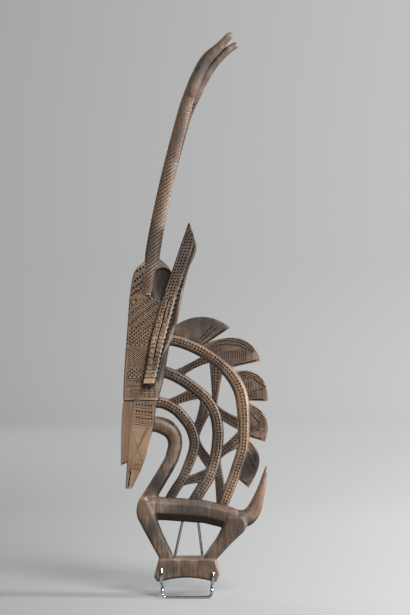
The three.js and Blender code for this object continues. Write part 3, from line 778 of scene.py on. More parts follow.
# How much wider or narrower each rib is along its length
rib_width = [
    [(0.5, 1), (0.7, 0.86)],
    [(0, 1.05), (1, 1.05)],
    [(0.31, 1), (0.38, 1.1), (0.44, 1.18), (0.5, 1.2), (0.56, 1.18), (0.63, 1.05), (0.69, 1)],
]


def rib_section(width):
    """A ring with a narrow flank on the rib's outer side and a wide one towards the neck."""
    outer = [(9.5, 6.0), (9.2, 7.4), (6.6, 11.3), (5.8, 12)]
    inner = [(-3.2, 12), (-4.3, 11.6), (-9.1, 6.6), (-9.5, 5.6)]
    near = [(u * width, v) for u, v in outer + inner]
    return near + [(u, -v) for u, v in near[::-1]]


for line, widths in zip(rib_lines, rib_width):
    track, length = along_curve(line, 4)
    work_on(carving, sweep("rib", track, lambda share: rib_section(read(widths, share))), "UNION")
    print("rib, mm long:", round(length))

# %% [markdown]
# ## Struts between the ribs
#
# Short bars cross from rib to rib, and the gaps between them are what makes the mane look
# like lace. The two long sides of a bar bow slightly, so a strut is a board whose outline is
# two shallow curves. Each has its own thickness, by a fraction of a millimetre, as bars cut
# by hand do.

# %% Struts
# Each strut is its two sides: from, to and how far the side bows in
strut_sides = [
    [((-22, 362), (31, 390), 1), ((-8, 352), (50, 378), 4)],
    [((38, 381), (43, 314), 0.5), ((62, 362), (51.5, 300), 0.5)],
    [((50, 305), (90, 281), 3), ((58, 278), (90, 259), -1)],
    [((92, 262), (59, 229), 1), ((89, 228), (55, 206), 3)],
    [((45.5, 206), (51, 126), 0.5), ((57, 214), (70.5, 141), 1)],
    [((-39, 310), (6, 331), 1), ((-20, 302), (26, 314), 1.5)],
    [((23.5, 316), (11, 266), 2), ((40, 288), (19, 242), 1.5)],
    [((20, 249), (43, 212), 3), ((14, 225), (38, 188), -1)],
    [((-2, 178), (39, 196), 1), ((-12, 161), (26, 168), 2)],
]


def bowed_side(start, end, bow, centre):
    """Points on a side that bows towards the strut's middle line."""
    start, end = np.array(start, float), np.array(end, float)
    along = end - start
    inward = unit(np.array([-along[1], along[0]]))
    middle = (start + end) / 2
    if inward @ (centre - middle) < 0:
        inward = -inward
    pull = middle + inward * 2 * bow
    share = np.linspace(0, 1, 9)[:, None]
    return (1 - share)**2 * start + 2 * share * (1 - share) * pull + share**2 * end


def strut_edges(sides):
    """The two long sides of a strut, as rows of points."""
    centre = np.mean([p for start, end, _ in sides for p in (start, end)], axis=0)
    return [bowed_side(*side, centre) for side in sides]


for i, sides in enumerate(strut_sides):
    first, second = strut_edges(sides)
    half = 8.5 + 0.35 * math.sin(i * 2.4)
    outline = np.concatenate([first, second[::-1]])
    work_on(carving, board("strut", outline, -half, half, edge=2, steps=2), "UNION")

# %% [markdown]
# ## Leaves
#
# Five leaves stand out from the back of the mane. Each has a bowed upper edge that runs to a
# point and a straight cut back to the rib. A cubic Bezier curve draws the bowed edge from
# four points, and the board's edge is eased in two steps.

# %% Leaves
# Each leaf is its root, the two pulls of its bow, its point, and the cut back to its seat
leaves = [
    [(-30, 433), (2, 459), (42, 464), (74.4, 436), (21, 400), (-30, 412)],
    [(22, 404), (62, 423.5), (113, 431.5), (127.3, 378.6), (80, 368), (66, 368)],
    [(78, 358), (116, 372), (142, 350), (139.7, 308.9), (104, 310.2), (93, 315.5)],
    [(100, 309), (128, 302), (150, 276), (135, 239.2), (104, 248.3), (97, 256)],
    [(99, 248), (131, 224), (134, 204), (106.4, 159.6), (88, 175), (83, 190)],
]


def leaf_bow(leaf, steps=24):
    """Points along a leaf's bowed upper edge."""
    root, first_pull, second_pull, point = (np.array(place, float) for place in leaf[:4])
    share = np.linspace(0, 1, steps + 1)[:, None]
    rest = 1 - share
    return (rest**3 * root + 3 * share * rest**2 * first_pull
            + 3 * share**2 * rest * second_pull + share**3 * point)


for i, leaf in enumerate(leaves):
    outline = np.concatenate([leaf_bow(leaf), np.array(leaf[4:], float)])
    half = 5.5 - 0.2 * (i % 2)
    work_on(carving, board("leaf", outline, -half, half, edge=1.4, steps=2), "UNION")
print("rough carving:", len(carving.data.polygons), "faces")

# %% [markdown]
# ## Tools for the small cuts
#
# The pattern is chip carving: rows of small pits with three or four sides, and lines cut with
# a V tool. Painting it as bump would be quick, but pits of two or three millimetres throw real
# shadows and belong in the mesh. Each cutter is a tiny closed solid that is laid on the
# surface by a ray, so it follows slanting faces. Many cutters are gathered in one sheet,
# without touching each other, and one Boolean takes them all away from both sides.

# %% Laying cutters on the surface
# How far a cutter stands out of the wood, so that its lid lies outside
LIFT = 0.35
RAY_START = -90

carving_shape = bmesh.new()
carving_shape.from_mesh(carving.data)
bmesh.ops.triangulate(carving_shape, faces=carving_shape.faces)
surface = BVHTree.FromBMesh(carving_shape)


def touch(x, z, band):
    """Where the near side's surface is at x and z, if its y lies in the band."""
    hit, normal, _, _ = surface.ray_cast(Vector((x, RAY_START, z)), Vector((0, 1, 0)))
    if hit is None or not band[0] <= hit.y <= band[1]:
        return None
    return np.array(hit), np.array(normal)


# %% Sheets of cutters
class CutSheet:
    """Closed cutters that don't touch each other, with their mirror images."""

    def __init__(self, name):
        self.name, self.points, self.faces, self.count = name, [], [], 0
        self.places, self.reaches = np.empty((0, 3)), np.empty(0)

    def free(self, places, reach):
        """Which places are clear of the cutters laid so far."""
        if not len(self.places):
            return np.ones(len(places), bool)
        apart = np.linalg.norm(places[:, None] - self.places[None], axis=2)
        return (apart > self.reaches[None] + reach).all(axis=1)

    def claim(self, places, reach):
        """Keeps later cutters away from these places."""
        self.places = np.concatenate([self.places, places])
        self.reaches = np.concatenate([self.reaches, np.full(len(places), reach)])

    def lay(self, points, faces):
        """Adds a cutter with its faces turned outwards, and its mirror image."""
        points, faces = np.asarray(points, float), np.asarray(faces)
        first, second, third = (points[faces[:, i]] - points[0] for i in range(3))
        if np.einsum("ij,ij->i", first, np.cross(second, third)).sum() < 0:
            faces = faces[:, ::-1]
        for side, turned in ((1, faces), (-1, faces[:, ::-1])):
            self.points.append(points * (1, side, 1))
            self.faces.append(turned + self.count)
            self.count += len(points)

    def cut(self, piece):
        """Takes all the cutters out of a piece at once."""
        mesh = bpy.data.meshes.new(self.name)
        mesh.from_pydata(np.concatenate(self.points).tolist(), [], np.concatenate(self.faces).tolist())
        work_on(piece, new_object(self.name, mesh), "DIFFERENCE")
        print(self.name, "cutters:", len(self.points), "carving faces:", len(piece.data.polygons))


# %% [markdown]
# A chip is a pyramid pushed in point first. A V line is a thin wedge that runs through a
# chain of points and thins out at both ends, as the tool enters and leaves the wood.

# %% Chips and V lines
pits = CutSheet("pits")
lines = CutSheet("lines")
crossings = CutSheet("crossings")

LINE_STEP = 3.5
LINE_END_SHARE = 0.3


def chip(x, z, size, depth, turn, band, sides=3, room=1.0):
    """A pit with its first corner at the given turn. Less room lets pits stand closer."""
    found = touch(x, z, band)
    wide = size * (depth + LIFT) / depth
    if found is None or not pits.free(found[0][None], wide * room)[0]:
        return
    place, normal = found
    across = unit(np.array([1.0, 0, 0]) - normal * normal[0])
    up = np.cross(across, normal)
    swing = (turn + np.arange(sides) / sides * 2 * math.pi)[:, None]
    rim = place + normal * LIFT + wide * (np.cos(swing) * across + np.sin(swing) * up)
    foot = place - normal * depth
    order = np.arange(sides)
    walls = np.stack([order, np.roll(order, -1), np.full(sides, sides)], 1)
    lid = [(0, i + 1, i) for i in range(1, sides - 1)]
    pits.lay([*rim, foot], np.concatenate([walls, lid]))
    pits.claim(place[None], wide * room)


def v_line(route, width, depth, band, sheet=lines):
    """A V groove along a chain of x and z, wherever the chain lies on the band's surface."""
    route = np.asarray(route, float)
    run = run_along(route)
    steps = max(2, round(run[-1] / LINE_STEP))
    stops = np.linspace(0, run[-1], steps + 1)
    chain = np.stack([np.interp(stops, run, route[:, 0]), np.interp(stops, run, route[:, 1])], 1)
    found = [touch(x, z, band) for x, z in chain]
    clear = [hit is not None and sheet.free(hit[0][None], width / 2)[0] for hit in found]
    start = 0
    for stop in range(len(found) + 1):
        if stop < len(found) and clear[stop]:
            continue
        if stop - start >= 2:
            lay_groove(found[start:stop], width, depth, sheet)
        start = stop + 1


def lay_groove(found, width, depth, sheet):
    """One unbroken wedge through the places found on the surface."""
    places = np.array([place for place, _ in found])
    normals = np.array([normal for _, normal in found])
    forward = np.gradient(places, axis=0)
    side = unit(np.cross(normals, forward))
    taper = np.ones(len(found))
    taper[[0, -1]] = LINE_END_SHARE
    deep = depth * taper[:, None]
    half = width / 2 * taper[:, None] * (deep + LIFT) / deep
    above = places + normals * LIFT
    rings = np.stack([above + side * half, above - side * half, places - normals * deep], 1)
    last = len(rings) * 3 - 3
    ends = np.array([[0, 2, 1], [last, last + 1, last + 2]])
    sheet.lay(rings.reshape(-1, 3), np.concatenate([walls_between(rings), ends]))
    sheet.claim(places, width / 2)


# %% [markdown]
# ## Patterns on the face
#
# The side of the face is worked in bands. From the brow down there are big pits in slanting
# rows, then slanting lines with rows of pits between them, a field of small pits, a band of
# slanting lines, and a cheek band of level lines with pits. The muzzle has three rows of pits
# between level lines, a few faint crossing lines below them and two short rows of dots. The
# mouth is one deep V cut, and a smaller one ends the nose. Each band is a loop, so the spacing
# is easy to change.

# %% Bands on the side of the face
FACE_BAND = (-26.5, -8.0)
SLANT = math.radians(39)
SHORTEST_ROW = 4


def slanting_rows(z_low, z_high, x_low, x_high, pitch):
    """Starts and ends of lines that rise to the right across a band."""
    slope = math.tan(SLANT)
    rise = (x_high - x_low) * slope
    start = z_low - rise
    while start < z_high:
        low, high = max(start, z_low), min(start + rise, z_high)
        if high - low > SHORTEST_ROW:
            yield (x_low + (low - start) / slope, low), (x_low + (high - start) / slope, high)
        start += pitch / math.cos(SLANT)


def chip_row(start, end, pitch, size, depth, turn, band, sides=3, room=1.0):
    """Evenly spaced pits from one place to another."""
    start, end = np.array(start, float), np.array(end, float)
    steps = max(1, round(np.linalg.norm(end - start) / pitch))
    for i in range(steps + 1):
        x, z = start + (end - start) * i / steps
        chip(x, z, size, depth, turn, band, sides, room)


# %% Bands from the brow to the cheek
brow_rows = [((-75, 540), (-91, 530)), ((-76.5, 527.5), (-93.5, 513)), ((-78, 514.5), (-96, 501)),
             ((-79, 503), (-96, 491.5)), ((-88, 541), (-93, 522))]


def brow_pits():
    """Big pits in rows that fall towards the front."""
    for start, end in brow_rows:
        chip_row(start, end, pitch=5.4, size=2.6, depth=3.2, turn=0.8, band=FACE_BAND, sides=4, room=0.8)


def slanting_band():
    """Three slanting lines, then a row of pits, and so on."""
    for i, (start, end) in enumerate(slanting_rows(436, 486, -99, -42, 3.1)):
        if i % 4 == 3:
            chip_row(start, end, pitch=5.2, size=2.2, depth=2.8, turn=SLANT, band=FACE_BAND, sides=4)
        else:
            v_line([start, end], width=1.6, depth=1.5, band=FACE_BAND)


def pit_field(z_low, z_high, pitch, size):
    """Slanting rows of small pits, as close to each other as the pits in a row."""
    for start, end in slanting_rows(z_low, z_high, -102, -50, pitch):
        chip_row(start, end, pitch, size, depth=2.4, turn=-SLANT, band=FACE_BAND, sides=4, room=0.85)


def slanting_lines(z_low, z_high, x_low, x_high):
    """Fine slanting lines without pits."""
    for start, end in slanting_rows(z_low, z_high, x_low, x_high, 2.9):
        v_line([start, end], width=1.5, depth=1.5, band=FACE_BAND)


def cheek_band():
    """Two pairs of level lines round a row of pits, with short lines and pits below."""
    for z in (349, 345.5, 337.5, 334.5):
        v_line([(-104, z), (-62, z - 1)], width=1.6, depth=1.1, band=FACE_BAND)
    chip_row((-103, 341.5), (-62, 341), pitch=4.2, size=1.6, depth=1.6, turn=0.3, band=FACE_BAND)
    for start, end in slanting_rows(316, 332, -100, -74, pitch=3.0):
        v_line([start, end], width=1.9, depth=1.3, band=FACE_BAND)
    for z in (317, 322, 327, 331.5):
        chip_row((-73, z), (-56, z), pitch=4.4, size=1.8, depth=1.8, turn=0.5, band=FACE_BAND)


brow_pits()
slanting_band()
pit_field(407, 434, 4.9, 1.9)
slanting_lines(366, 405, -103, -55)
pit_field(352, 364, 4.6, 1.8)
cheek_band()

# %% Bands on the muzzle
faint_lines = [[(-96, 262), (-84, 226)], [(-66, 265), (-84, 228)], [(-68.5, 265), (-86.5, 228)],
               [(-85.5, 222), (-99, 203)], [(-82.5, 223), (-78, 206)]]
nose_end = [(-113, 200.8), (-99.8, 206.6)]
mouth = [(-96.9, 190), (-101.6, 160)]


def muzzle_pattern():
    """Level lines with rows of pits, faint crossing lines, the nose's end, the mouth and dots."""
    for z in (311.5, 308.5, 298, 286.5, 275, 272, 269):
        v_line([(-91, z + 1), (-60, z - 2.5)], width=1.3, depth=1.0, band=FACE_BAND)
    for z in (303.5, 292, 281):
        start, end = (-87, z + 0.6), (-61.5, z - 2.2)
        chip_row(start, end, pitch=5.1, size=2.1, depth=2.8, turn=0, band=FACE_BAND, sides=4)
    for route in faint_lines:
        v_line(route, width=1.2, depth=0.5, band=FACE_BAND)
    v_line(nose_end, width=2.2, depth=1.8, band=FACE_BAND)
    v_line(mouth, width=2.4, depth=3.0, band=FACE_BAND)
    for z in (199, 193):
        start, end = (-98, z), (-83, z - 0.5)
        chip_row(start, end, pitch=4.4, size=1.3, depth=1.3, turn=0, band=FACE_BAND, sides=4)


muzzle_pattern()
print("on the face:", len(pits.places), "pits")

# %% [markdown]
# ## Patterns on the ear
#
# The upper half of the ear's face reads as a net. The carver cut it as close rows of
# diamond-shaped pits, each row set half a pit aside from the last, so that thin walls are left
# standing between them. The lower half is two strips with small pits and short level cuts. A
# line runs down along each edge of the face. It crosses the level cuts, and cutters of one
# sheet may not touch, so it lies in a sheet of its own. The bevel behind the face has a row of
# big pits that read as a dark dotted line.

# %% Diamonds, strips and the dotted bevel
EAR_FACE_BAND = (-35.4, -34.4)
EAR_BEVEL_BAND = (-34.6, -27.4)
DIAMOND_STEP = 2.6


def ear_diamonds():
    """Rows of diamonds, every second row half a step aside."""
    for row, z in enumerate(np.arange(455, 612, DIAMOND_STEP)):
        front, face_end, _, _ = ear_at(z)
        for x in np.arange(front + 2.4 + DIAMOND_STEP * (row % 2), face_end - 1.8, 2 * DIAMOND_STEP):
            chip(x, z, size=2.15, depth=2.6, turn=0, band=EAR_FACE_BAND, sides=4, room=0.7)


def ear_strips():
    """Small pits and level cuts on the two strips, and a line along each edge of the face."""
    for z in np.arange(350, 452, 7.2):
        front, face_end, _, _ = ear_at(z)
        for share in (0.18, 0.4, 0.74, 0.93):
            x = front + (face_end - front) * share
            chip(x, z + 2 * share, size=1.8, depth=1.7, turn=0.4, band=EAR_FACE_BAND)
    for z in (448, 432, 425.5, 408, 401.5, 384, 363.5, 357, 350):
        front, face_end, _, _ = ear_at(z)
        v_line([(front + 1.5, z), (face_end - 1.5, z + 1)], width=1.4, depth=1.2, band=EAR_FACE_BAND)
    for share in (0.06, 0.98):
        route = [(front + (face_end - front) * share, z) for z in np.arange(348, 600, 6)
                 for front, face_end, _, _ in [ear_at(z)]]
        v_line(route, width=1.4, depth=0.9, band=EAR_FACE_BAND, sheet=crossings)


def ear_bevel_pits():
    """Big pits down the bevel, and smaller ones towards the ear's tip."""
    for z in np.arange(349, 520, 8.3):
        _, face_end, bevel_foot, _ = ear_at(z)
        x = face_end * 0.2 + bevel_foot * 0.8
        chip(x, z, size=3.9, depth=4.0, turn=0.5, band=EAR_BEVEL_BAND, sides=4, room=0.85)
    for z in np.arange(526, 600, 6.5):
        _, face_end, bevel_foot, _ = ear_at(z)
        x = face_end * 0.4 + bevel_foot * 0.6
        chip(x, z, size=2.4, depth=2.4, turn=0.9, band=EAR_BEVEL_BAND)


ear_strips()
ear_diamonds()
ear_bevel_pits()
print("on face and ear:", len(pits.places), "pits")

# %% [markdown]
# ## Patterns on the mane
#
# The flat face of each rib has two rows of pits side by side. Each strut has one line along it
# and two rows of pits. Most leaves have lines that follow the bowed upper edge and short rows
# of pits, two of them have a patch of fine upright cuts, and a deep line runs just inside the
# straight cut of every leaf.

# %% Rib pits
RIB_BAND = (-12.4, -11.4)
STRUT_BAND = (-9.2, -7.6)
LEAF_BAND = (-5.8, -5.0)

# The two rows lie 2.5 mm to each side of a line that is shifted like the rib's flat
ROWS_SHIFT = 1.3
ROWS_APART = 2.5

for line in rib_lines:
    (places, directions, _), _ = along_curve(line, 5.4)
    for place, direction in zip(places, directions):
        heading = math.atan2(direction[1], direction[0])
        for side in (-1, 1):
            x, z = place + np.array([-direction[1], direction[0]]) * (ROWS_SHIFT + side * ROWS_APART)
            chip(x, z, size=2.15, depth=2.6, turn=heading + math.pi / 4, band=RIB_BAND, sides=4, room=0.86)

# %% Strut lines and pits
def strut_pattern(sides):
    """One line near a strut's first side and two rows of pits."""
    first, second = strut_edges(sides)
    v_line(first * 0.82 + second * 0.18, width=1.6, depth=1.2, band=STRUT_BAND)
    for share in (0.4, 0.66):
        start, *_, end = first * (1 - share) + second * share
        chip_row(start, end, pitch=5.2, size=2.1, depth=2.6, turn=share * 5, band=STRUT_BAND, sides=4,
                 room=0.84)


for sides in strut_sides:
    strut_pattern(sides)

# %% Rows of pits and lines on the leaves
# For each leaf, the rows of pits from end to end, and the lines that follow its upper edge
leaf_rows = [
    [[(22.5, 416.5), (42.1, 437.2)], [(27.7, 414.7), (46.6, 432.8)]],
    [[(41.5, 403.2), (67.3, 407.5)], [(67.3, 407.5), (91.5, 404.4)],
     [(96.7, 401.6), (111.3, 394.9)]],
    [[(91.5, 356.4), (104.8, 347.8)], [(116.5, 345.7), (134.6, 334.0)],
     [(105.3, 323.5), (132.9, 331.2)]],
    [[(108.5, 290.3), (123.5, 272.3)], [(111.3, 256.9), (123.4, 260.4)]],
    [[(104.3, 224.3), (106.7, 214.4)], [(108.8, 208.3), (116.3, 194.4)]],
]
leaf_lines = [
    [],
    [[(36.3, 410.6), (60.4, 417.7), (84.6, 416.5), (103.6, 408.7), (117.3, 397.5)],
     [(43.2, 407.5), (62.2, 413.4), (82.9, 412.1), (100.1, 406.1), (112.2, 397.5)]],
    [[(88.0, 362.0), (105.3, 359.2), (122.5, 352.6), (134.6, 340.6)],
     [(89.8, 359.5), (105.3, 355.6), (120.8, 348.8)],
     [(96.7, 354.4), (108.7, 350.9), (119.1, 345.7)]],
    [[(112.2, 300.9), (124.2, 293.1), (134.6, 283.6)],
     [(111.3, 297.4), (122.5, 289.5), (133.7, 279.3)],
     [(113.9, 291.7), (124.2, 283.6), (132.0, 275.0)]],
    [[(107.9, 237.9), (114.8, 226.7), (120.8, 212.9)],
     [(107.0, 231.9), (113.9, 219.8), (119.9, 204.3)]],
]

# %% Cut the pattern of the leaves
# Patches of fine upright cuts on each leaf, as left and right end, foot and crest
leaf_hatches = [[], [(58, 102, 378, 397)], [(99, 114, 329, 343)], [], []]


def hatch(left, right, foot, crest):
    """A patch of fine cuts that lean slightly."""
    for x in np.arange(left, right, 3.2):
        v_line([(x + 0.8, foot), (x, crest)], width=1.2, depth=0.9, band=LEAF_BAND, sheet=crossings)


def lower_edge(leaf):
    """A deep line just inside the straight cut of a leaf."""
    point, back = np.array(leaf[3], float), np.array(leaf[4], float)
    along = unit(back - point)
    inward = np.array([along[1], -along[0]]) * 2.6
    v_line([point + along * 7 + inward, back + inward], width=2.6, depth=2.4, band=LEAF_BAND)


for leaf, rows, upper, patches in zip(leaves, leaf_rows, leaf_lines, leaf_hatches):
    for start, end in rows:
        chip_row(start, end, pitch=4.7, size=2.1, depth=2.6, turn=0.6, band=LEAF_BAND, sides=4, room=0.8)
    for route in upper:
        v_line(route, width=1.8, depth=1.4, band=LEAF_BAND)
    for patch in patches:
        hatch(*patch)
    lower_edge(leaf)

# %% [markdown]
# ## Making the cuts
#
# One sheet at a time is cut away. The surface as it was before the cuts is kept, because the
# distance from it tells the finish how deep each point lies.

# %% Cut the sheets away
print("pits:", len(pits.places) * 2, "on both sides")
for sheet in (pits, lines, crossings):
    sheet.cut(carving)

# %% [markdown]
# ## Where dirt and painted shade gather, and where edges are pale
#
# Old wood is dark in its cuts and pale on its edges. Here the dark in the cuts and corners is
# dirt with painted shade, and the pale edges are wear with a painted highlight. Both are stored
# on the points of the mesh as numbers that the wood's finish reads. The depth is the distance
# to the uncut surface. The wear is how far a point stands out from its neighbours, which is
# high along a ridge and below zero in a corner.

# %% Depth and wear of the points
def store(piece, name, values):
    """Keeps a number for each point of a piece, where a finish can read it."""
    layer = piece.data.attributes.new(name, "FLOAT", "POINT")
    layer.data.foreach_set("value", np.asarray(values, np.float32))


def depth_below(piece):
    """How far each point lies below the uncut surface."""
    return np.array([surface.find_nearest(vert.co)[3] for vert in piece.data.vertices])


def standing_out(piece):
    """How far each point stands out from its neighbours: below zero in a corner."""
    points, normals = vertex_values(piece), vertex_values(piece, "normal")
    pairs = np.empty(len(piece.data.edges) * 2, int)
    piece.data.edges.foreach_get("vertices", pairs)
    first, second = pairs.reshape(-1, 2).T
    step = points[second] - points[first]
    step /= np.maximum(np.linalg.norm(step, axis=1), 1e-9)[:, None]
    total, seen = np.zeros(len(points)), np.zeros(len(points))
    for here, away in ((first, -step), (second, step)):
        np.add.at(total, here, np.einsum("ij,ij->i", normals[here], away))
        np.add.at(seen, here, 1)
    return total / np.maximum(seen, 1)


# %% [markdown]
# Whole regions differ too: the muzzle, the chest, the neck and the tail are pale and warm from
# being held, and the inner mane is dark. A list of soft round spots holds that, along with
# painted shade under the body, on the front leg and in the hollow behind the horn. A second
# list names sides that are darkened as a whole, by where they lie and which way they look; the
# darkening by the way a side looks is painted shade.

# %% Held, sooted and shaded places
# Each spot is x, z, reach and how much it was handled, or how much soot and painted shade it
# holds where the number is negative. The dark spots under the body, on the front leg and in
# the hollow behind the horn are painted shade; the others set the tone of held and sooted wood.
held_and_shaded_spots = [
    (-104, 250, 70, 0.9), (-82, 142, 32, 0.6), (-38, 232, 42, 0.6), (136, 176, 40, 1.0),
    (-70, 400, 40, 0.75), (-75, 465, 40, 0.8), (-50, 385, 24, -0.45), (5, 446, 26, -0.65),
    (38, 446, 28, -0.6), (25, 402, 22, 0.35), (13, 371, 18, -0.6), (-38, 268, 20, -0.5),
    (-55, 158, 22, -0.6), (0, 104, 30, -0.8), (-45, 490, 14, -1.0), (-64, 536, 13, 0.6),
    (-27, 482, 16, 0.2), (-60, 378, 18, -0.7), (-62, 85, 24, -0.6), (112, 200, 26, -0.5),
    (-55, 600, 60, -0.3), (-20, 740, 75, -0.35), (30, 890, 60, -0.3), (0, 20, 60, 0.15),
    (-88, 350, 40, 0.5), (94, 305, 18, 0.8), (97, 262, 18, 0.9), (96, 225, 18, 0.9),
    (78, 172, 20, 0.5), (124, 345, 24, -0.45), (124, 275, 24, -0.45), (85, 395, 24, -0.3),
    (-66, 85, 20, -0.4), (-52, 172, 28, -0.7), (-38, 278, 18, -0.4), (8, 225, 52, -0.4),
    (42, 262, 40, -0.3), (112, 188, 24, -0.6), (118, 205, 34, -1.0), (-50, 505, 16, -0.5),
    (0, 590, 46, -0.6), (60, 420, 40, -0.3), (-75, 540, 36, -0.3), (40, 102, 26, -0.5),
    (92, 108, 26, -0.5), (-10, 150, 30, -0.3), (-30, 360, 26, -0.3),
]

# The hollow behind the horn's foot is darkened with painted shade as far out as the face, not on the ear
HOLLOW_PAINTED_SHADE = (-29, 514, 17, 2.2)
WITHIN_FACE = 26

# Sides that are darkened: range of x, of z and of distance from the middle, the way the side
# looks as x and z or None for every side, and how much soot and painted shade it holds. The
# rows that name a way paint shade on undersides, on sides that look towards the tail and on
# sides that look towards the head. Where the number is negative, the side was held and is
# cleaner than what lies round it.
sooted_and_shaded_sides = [
    (-115, -22, 185, 500, 0, 26, (1, 0), 1.3),
    (-85, -15, 30, 138, 0, 40, (1, 0), 0.8),
    (-120, 125, -1, 130, 0, 40, (0, -1), 1.0),
    (-45, 112, 130, 430, 0, 11.6, (-0.95, -0.3), 0.5),
    (-45, 112, 135, 330, 7, 9.4, None, 0.45),
    (-45, 112, 330, 400, 7, 9.4, None, 0.2),
    (-45, 28, 135, 350, 11.6, 13, None, 0.3),
    (28, 62, 135, 350, 11.6, 13, None, -0.3),
    (62, 112, 135, 425, 11.6, 13, None, -0.6),
]


# %% Soot and painted shade on spots, sides and ears
def spread_over(values, low, high, first, last):
    """Runs softly from the first number to the last while the values go from low to high."""
    return first + (last - first) * smoothstep(values, low, high)


def round_spot(points, x, z, reach):
    """One at x and z, and softly less around them."""
    return np.exp(-((points[:, 0] - x)**2 + (points[:, 2] - z)**2) / reach**2)


def soot_and_shade_on_sides(points, normals):
    """Soot and painted shade that lie on whole sides."""
    x, off_middle, z = points[:, 0], np.abs(points[:, 1]), points[:, 2]
    total = np.zeros(len(points))
    for x_low, x_high, z_low, z_high, near, wide, way, darkening in sooted_and_shaded_sides:
        inside = (x > x_low) & (x < x_high) & (z > z_low) & (z < z_high)
        inside &= (off_middle >= near) & (off_middle < wide)
        looks = np.ones(len(points)) if way is None else normals[:, 0] * way[0] + normals[:, 2] * way[1]
        total += inside * spread_over(looks, 0.3, 0.6, 0.0, darkening)
    return total


def painted_shade_on_ears(points):
    """Painted shade in the valley behind the ear's face, and a little on the rim behind that."""
    x, off_middle, z = points[:, 0], np.abs(points[:, 1]), points[:, 2]
    _, face_end, bevel_foot, rim = read_smooth(ear_rows, z).T
    on_bevel = (np.abs(off_middle - 30.5) < 4.2) & (z > 342)
    in_valley = on_bevel & (x > face_end + 0.6) & (x < bevel_foot + 1.5)
    on_rim = (x > bevel_foot + 1.5) & (x < rim + 1.5) & (off_middle > 12) & (z > 342) & (z < 575)
    return 1.4 * in_valley + on_rim * spread_over(z, 440, 480, 0.7, 0.2)


def handling_and_shade(piece):
    """How much each point was held, from 1, or darkened by soot and painted shade, to -1."""
    points, normals = vertex_values(piece), vertex_values(piece, "normal")
    total = sum(amount * round_spot(points, *spot) for *spot, amount in held_and_shaded_spots)
    # Painted shade in the hollow behind the horn's foot
    *hollow, darkening = HOLLOW_PAINTED_SHADE
    total -= darkening * round_spot(points, *hollow) * (np.abs(points[:, 1]) < WITHIN_FACE)
    return np.clip(total - soot_and_shade_on_sides(points, normals) - painted_shade_on_ears(points), -1, 1)


# %% Store depth, and wear with painted light
DEEPEST = 2.2

store(carving, "cut_depth", np.clip(depth_below(carving) / DEEPEST, 0, 1))
forward, _, heights = vertex_values(carving).T

# Pale edges and dark corners are weaker on the block, and weaker still on the back of the ears and the
# horns' tips
edge_strength = spread_over(heights, 38, 60, 0.35, 1.0)
upper_back = (heights > 424) & (forward > -22)
edge_strength[upper_back] = 0.2
wear_and_painted_light = np.clip(standing_out(carving) * (1.5 + handling_and_shade(carving)) * edge_strength, -1, 1)

# The long corner beside the nose strip gets less painted shade than other corners
nose_corner = (forward < -86) & (heights > 196) & (heights < 312)
wear_and_painted_light[(wear_and_painted_light < 0) & nose_corner] *= 0.3
store(carving, "edge_wear_and_painted_light", wear_and_painted_light)
print("worn points:", int((wear_and_painted_light > 0.2).sum()), "and points in corners:", int((wear_and_painted_light < -0.2).sum()))

# %% [markdown]
# Soot and painted shade also change slowly over large flat faces, and those have points only at their
# corners.
# So their long edges are halved a few times before the last numbers are stored.

# %% Points inside the flat faces
def fill_in(piece, longest=13):
    """Adds points inside the large flat faces."""
    shape = bmesh.new()
    shape.from_mesh(piece.data)
    for _ in range(5):
        bmesh.ops.triangulate(shape, faces=[face for face in shape.faces if len(face.verts) > 3])
        long_edges = [edge for edge in shape.edges if edge.calc_length() > longest]
        if not long_edges:
            break
        bmesh.ops.subdivide_edges(shape, edges=long_edges, cuts=1)
    shape.to_mesh(piece.data)
    shape.free()


fill_in(carving)
store(carving, "handling_and_shade", handling_and_shade(carving))
triangles = sum(len(face.vertices) - 2 for face in carving.data.polygons)
print("carving:", triangles, "triangles")

# %% Place the carving and shade it
def shade_smooth(piece, sharp_from):
    """Smooth shading, but with sharp edges from this angle in degrees."""
    for face in piece.data.polygons:
        face.use_smooth = True
    piece.data.set_sharp_from_angle(angle=math.radians(sharp_from))


carving.name = "carved_headdress"
carving.data.name = "carved_headdress"
put_in_frame(carving, "headdress")
shade_smooth(carving, 32)
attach(carving, "root")
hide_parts("headdress")
print("carving box:", [round(v, 4) for v in carving.dimensions])

# %% [markdown]
# ## The wires
#
# The stand is two pieces of chromed rod, bent in a jig. One is a cradle: it hooks over the
# front of the block, runs under it and rises behind it to a hoop that leans on the body. The
# other is a rail that carries the cradle, with a bar on the floor in front and two feet
# behind. A curve object with a round bevel would do, but a swept mesh lets every bend have
# the same true radius and every cut end a small round.

# %% Bending rod
ROD = 2.5
BEND = 7.0
SEAT = 27.2
ROD_SIDES = 24
END_EASE = 0.8


def bent_route(corners, steps=10):
    """Places along a rod that runs straight between corners, with round bends."""
    corners = [np.array(corner, float) for corner in corners]
    route = [corners[0]]
    for before, here, after in zip(corners, corners[1:], corners[2:]):
        back, on = unit(before - here), unit(after - here)
        half = math.acos(np.clip(back @ on, -1, 1)) / 2
        centre = here + unit(back + on) * BEND / math.sin(half)
        arm = here + back * BEND / math.tan(half) - centre
        swing = math.pi - 2 * half
        for step in range(steps + 1):
            turn = swing * step / steps
            route.append(centre + arm * math.cos(turn) - back * BEND * math.sin(turn))
    return np.array(route + [corners[-1]])


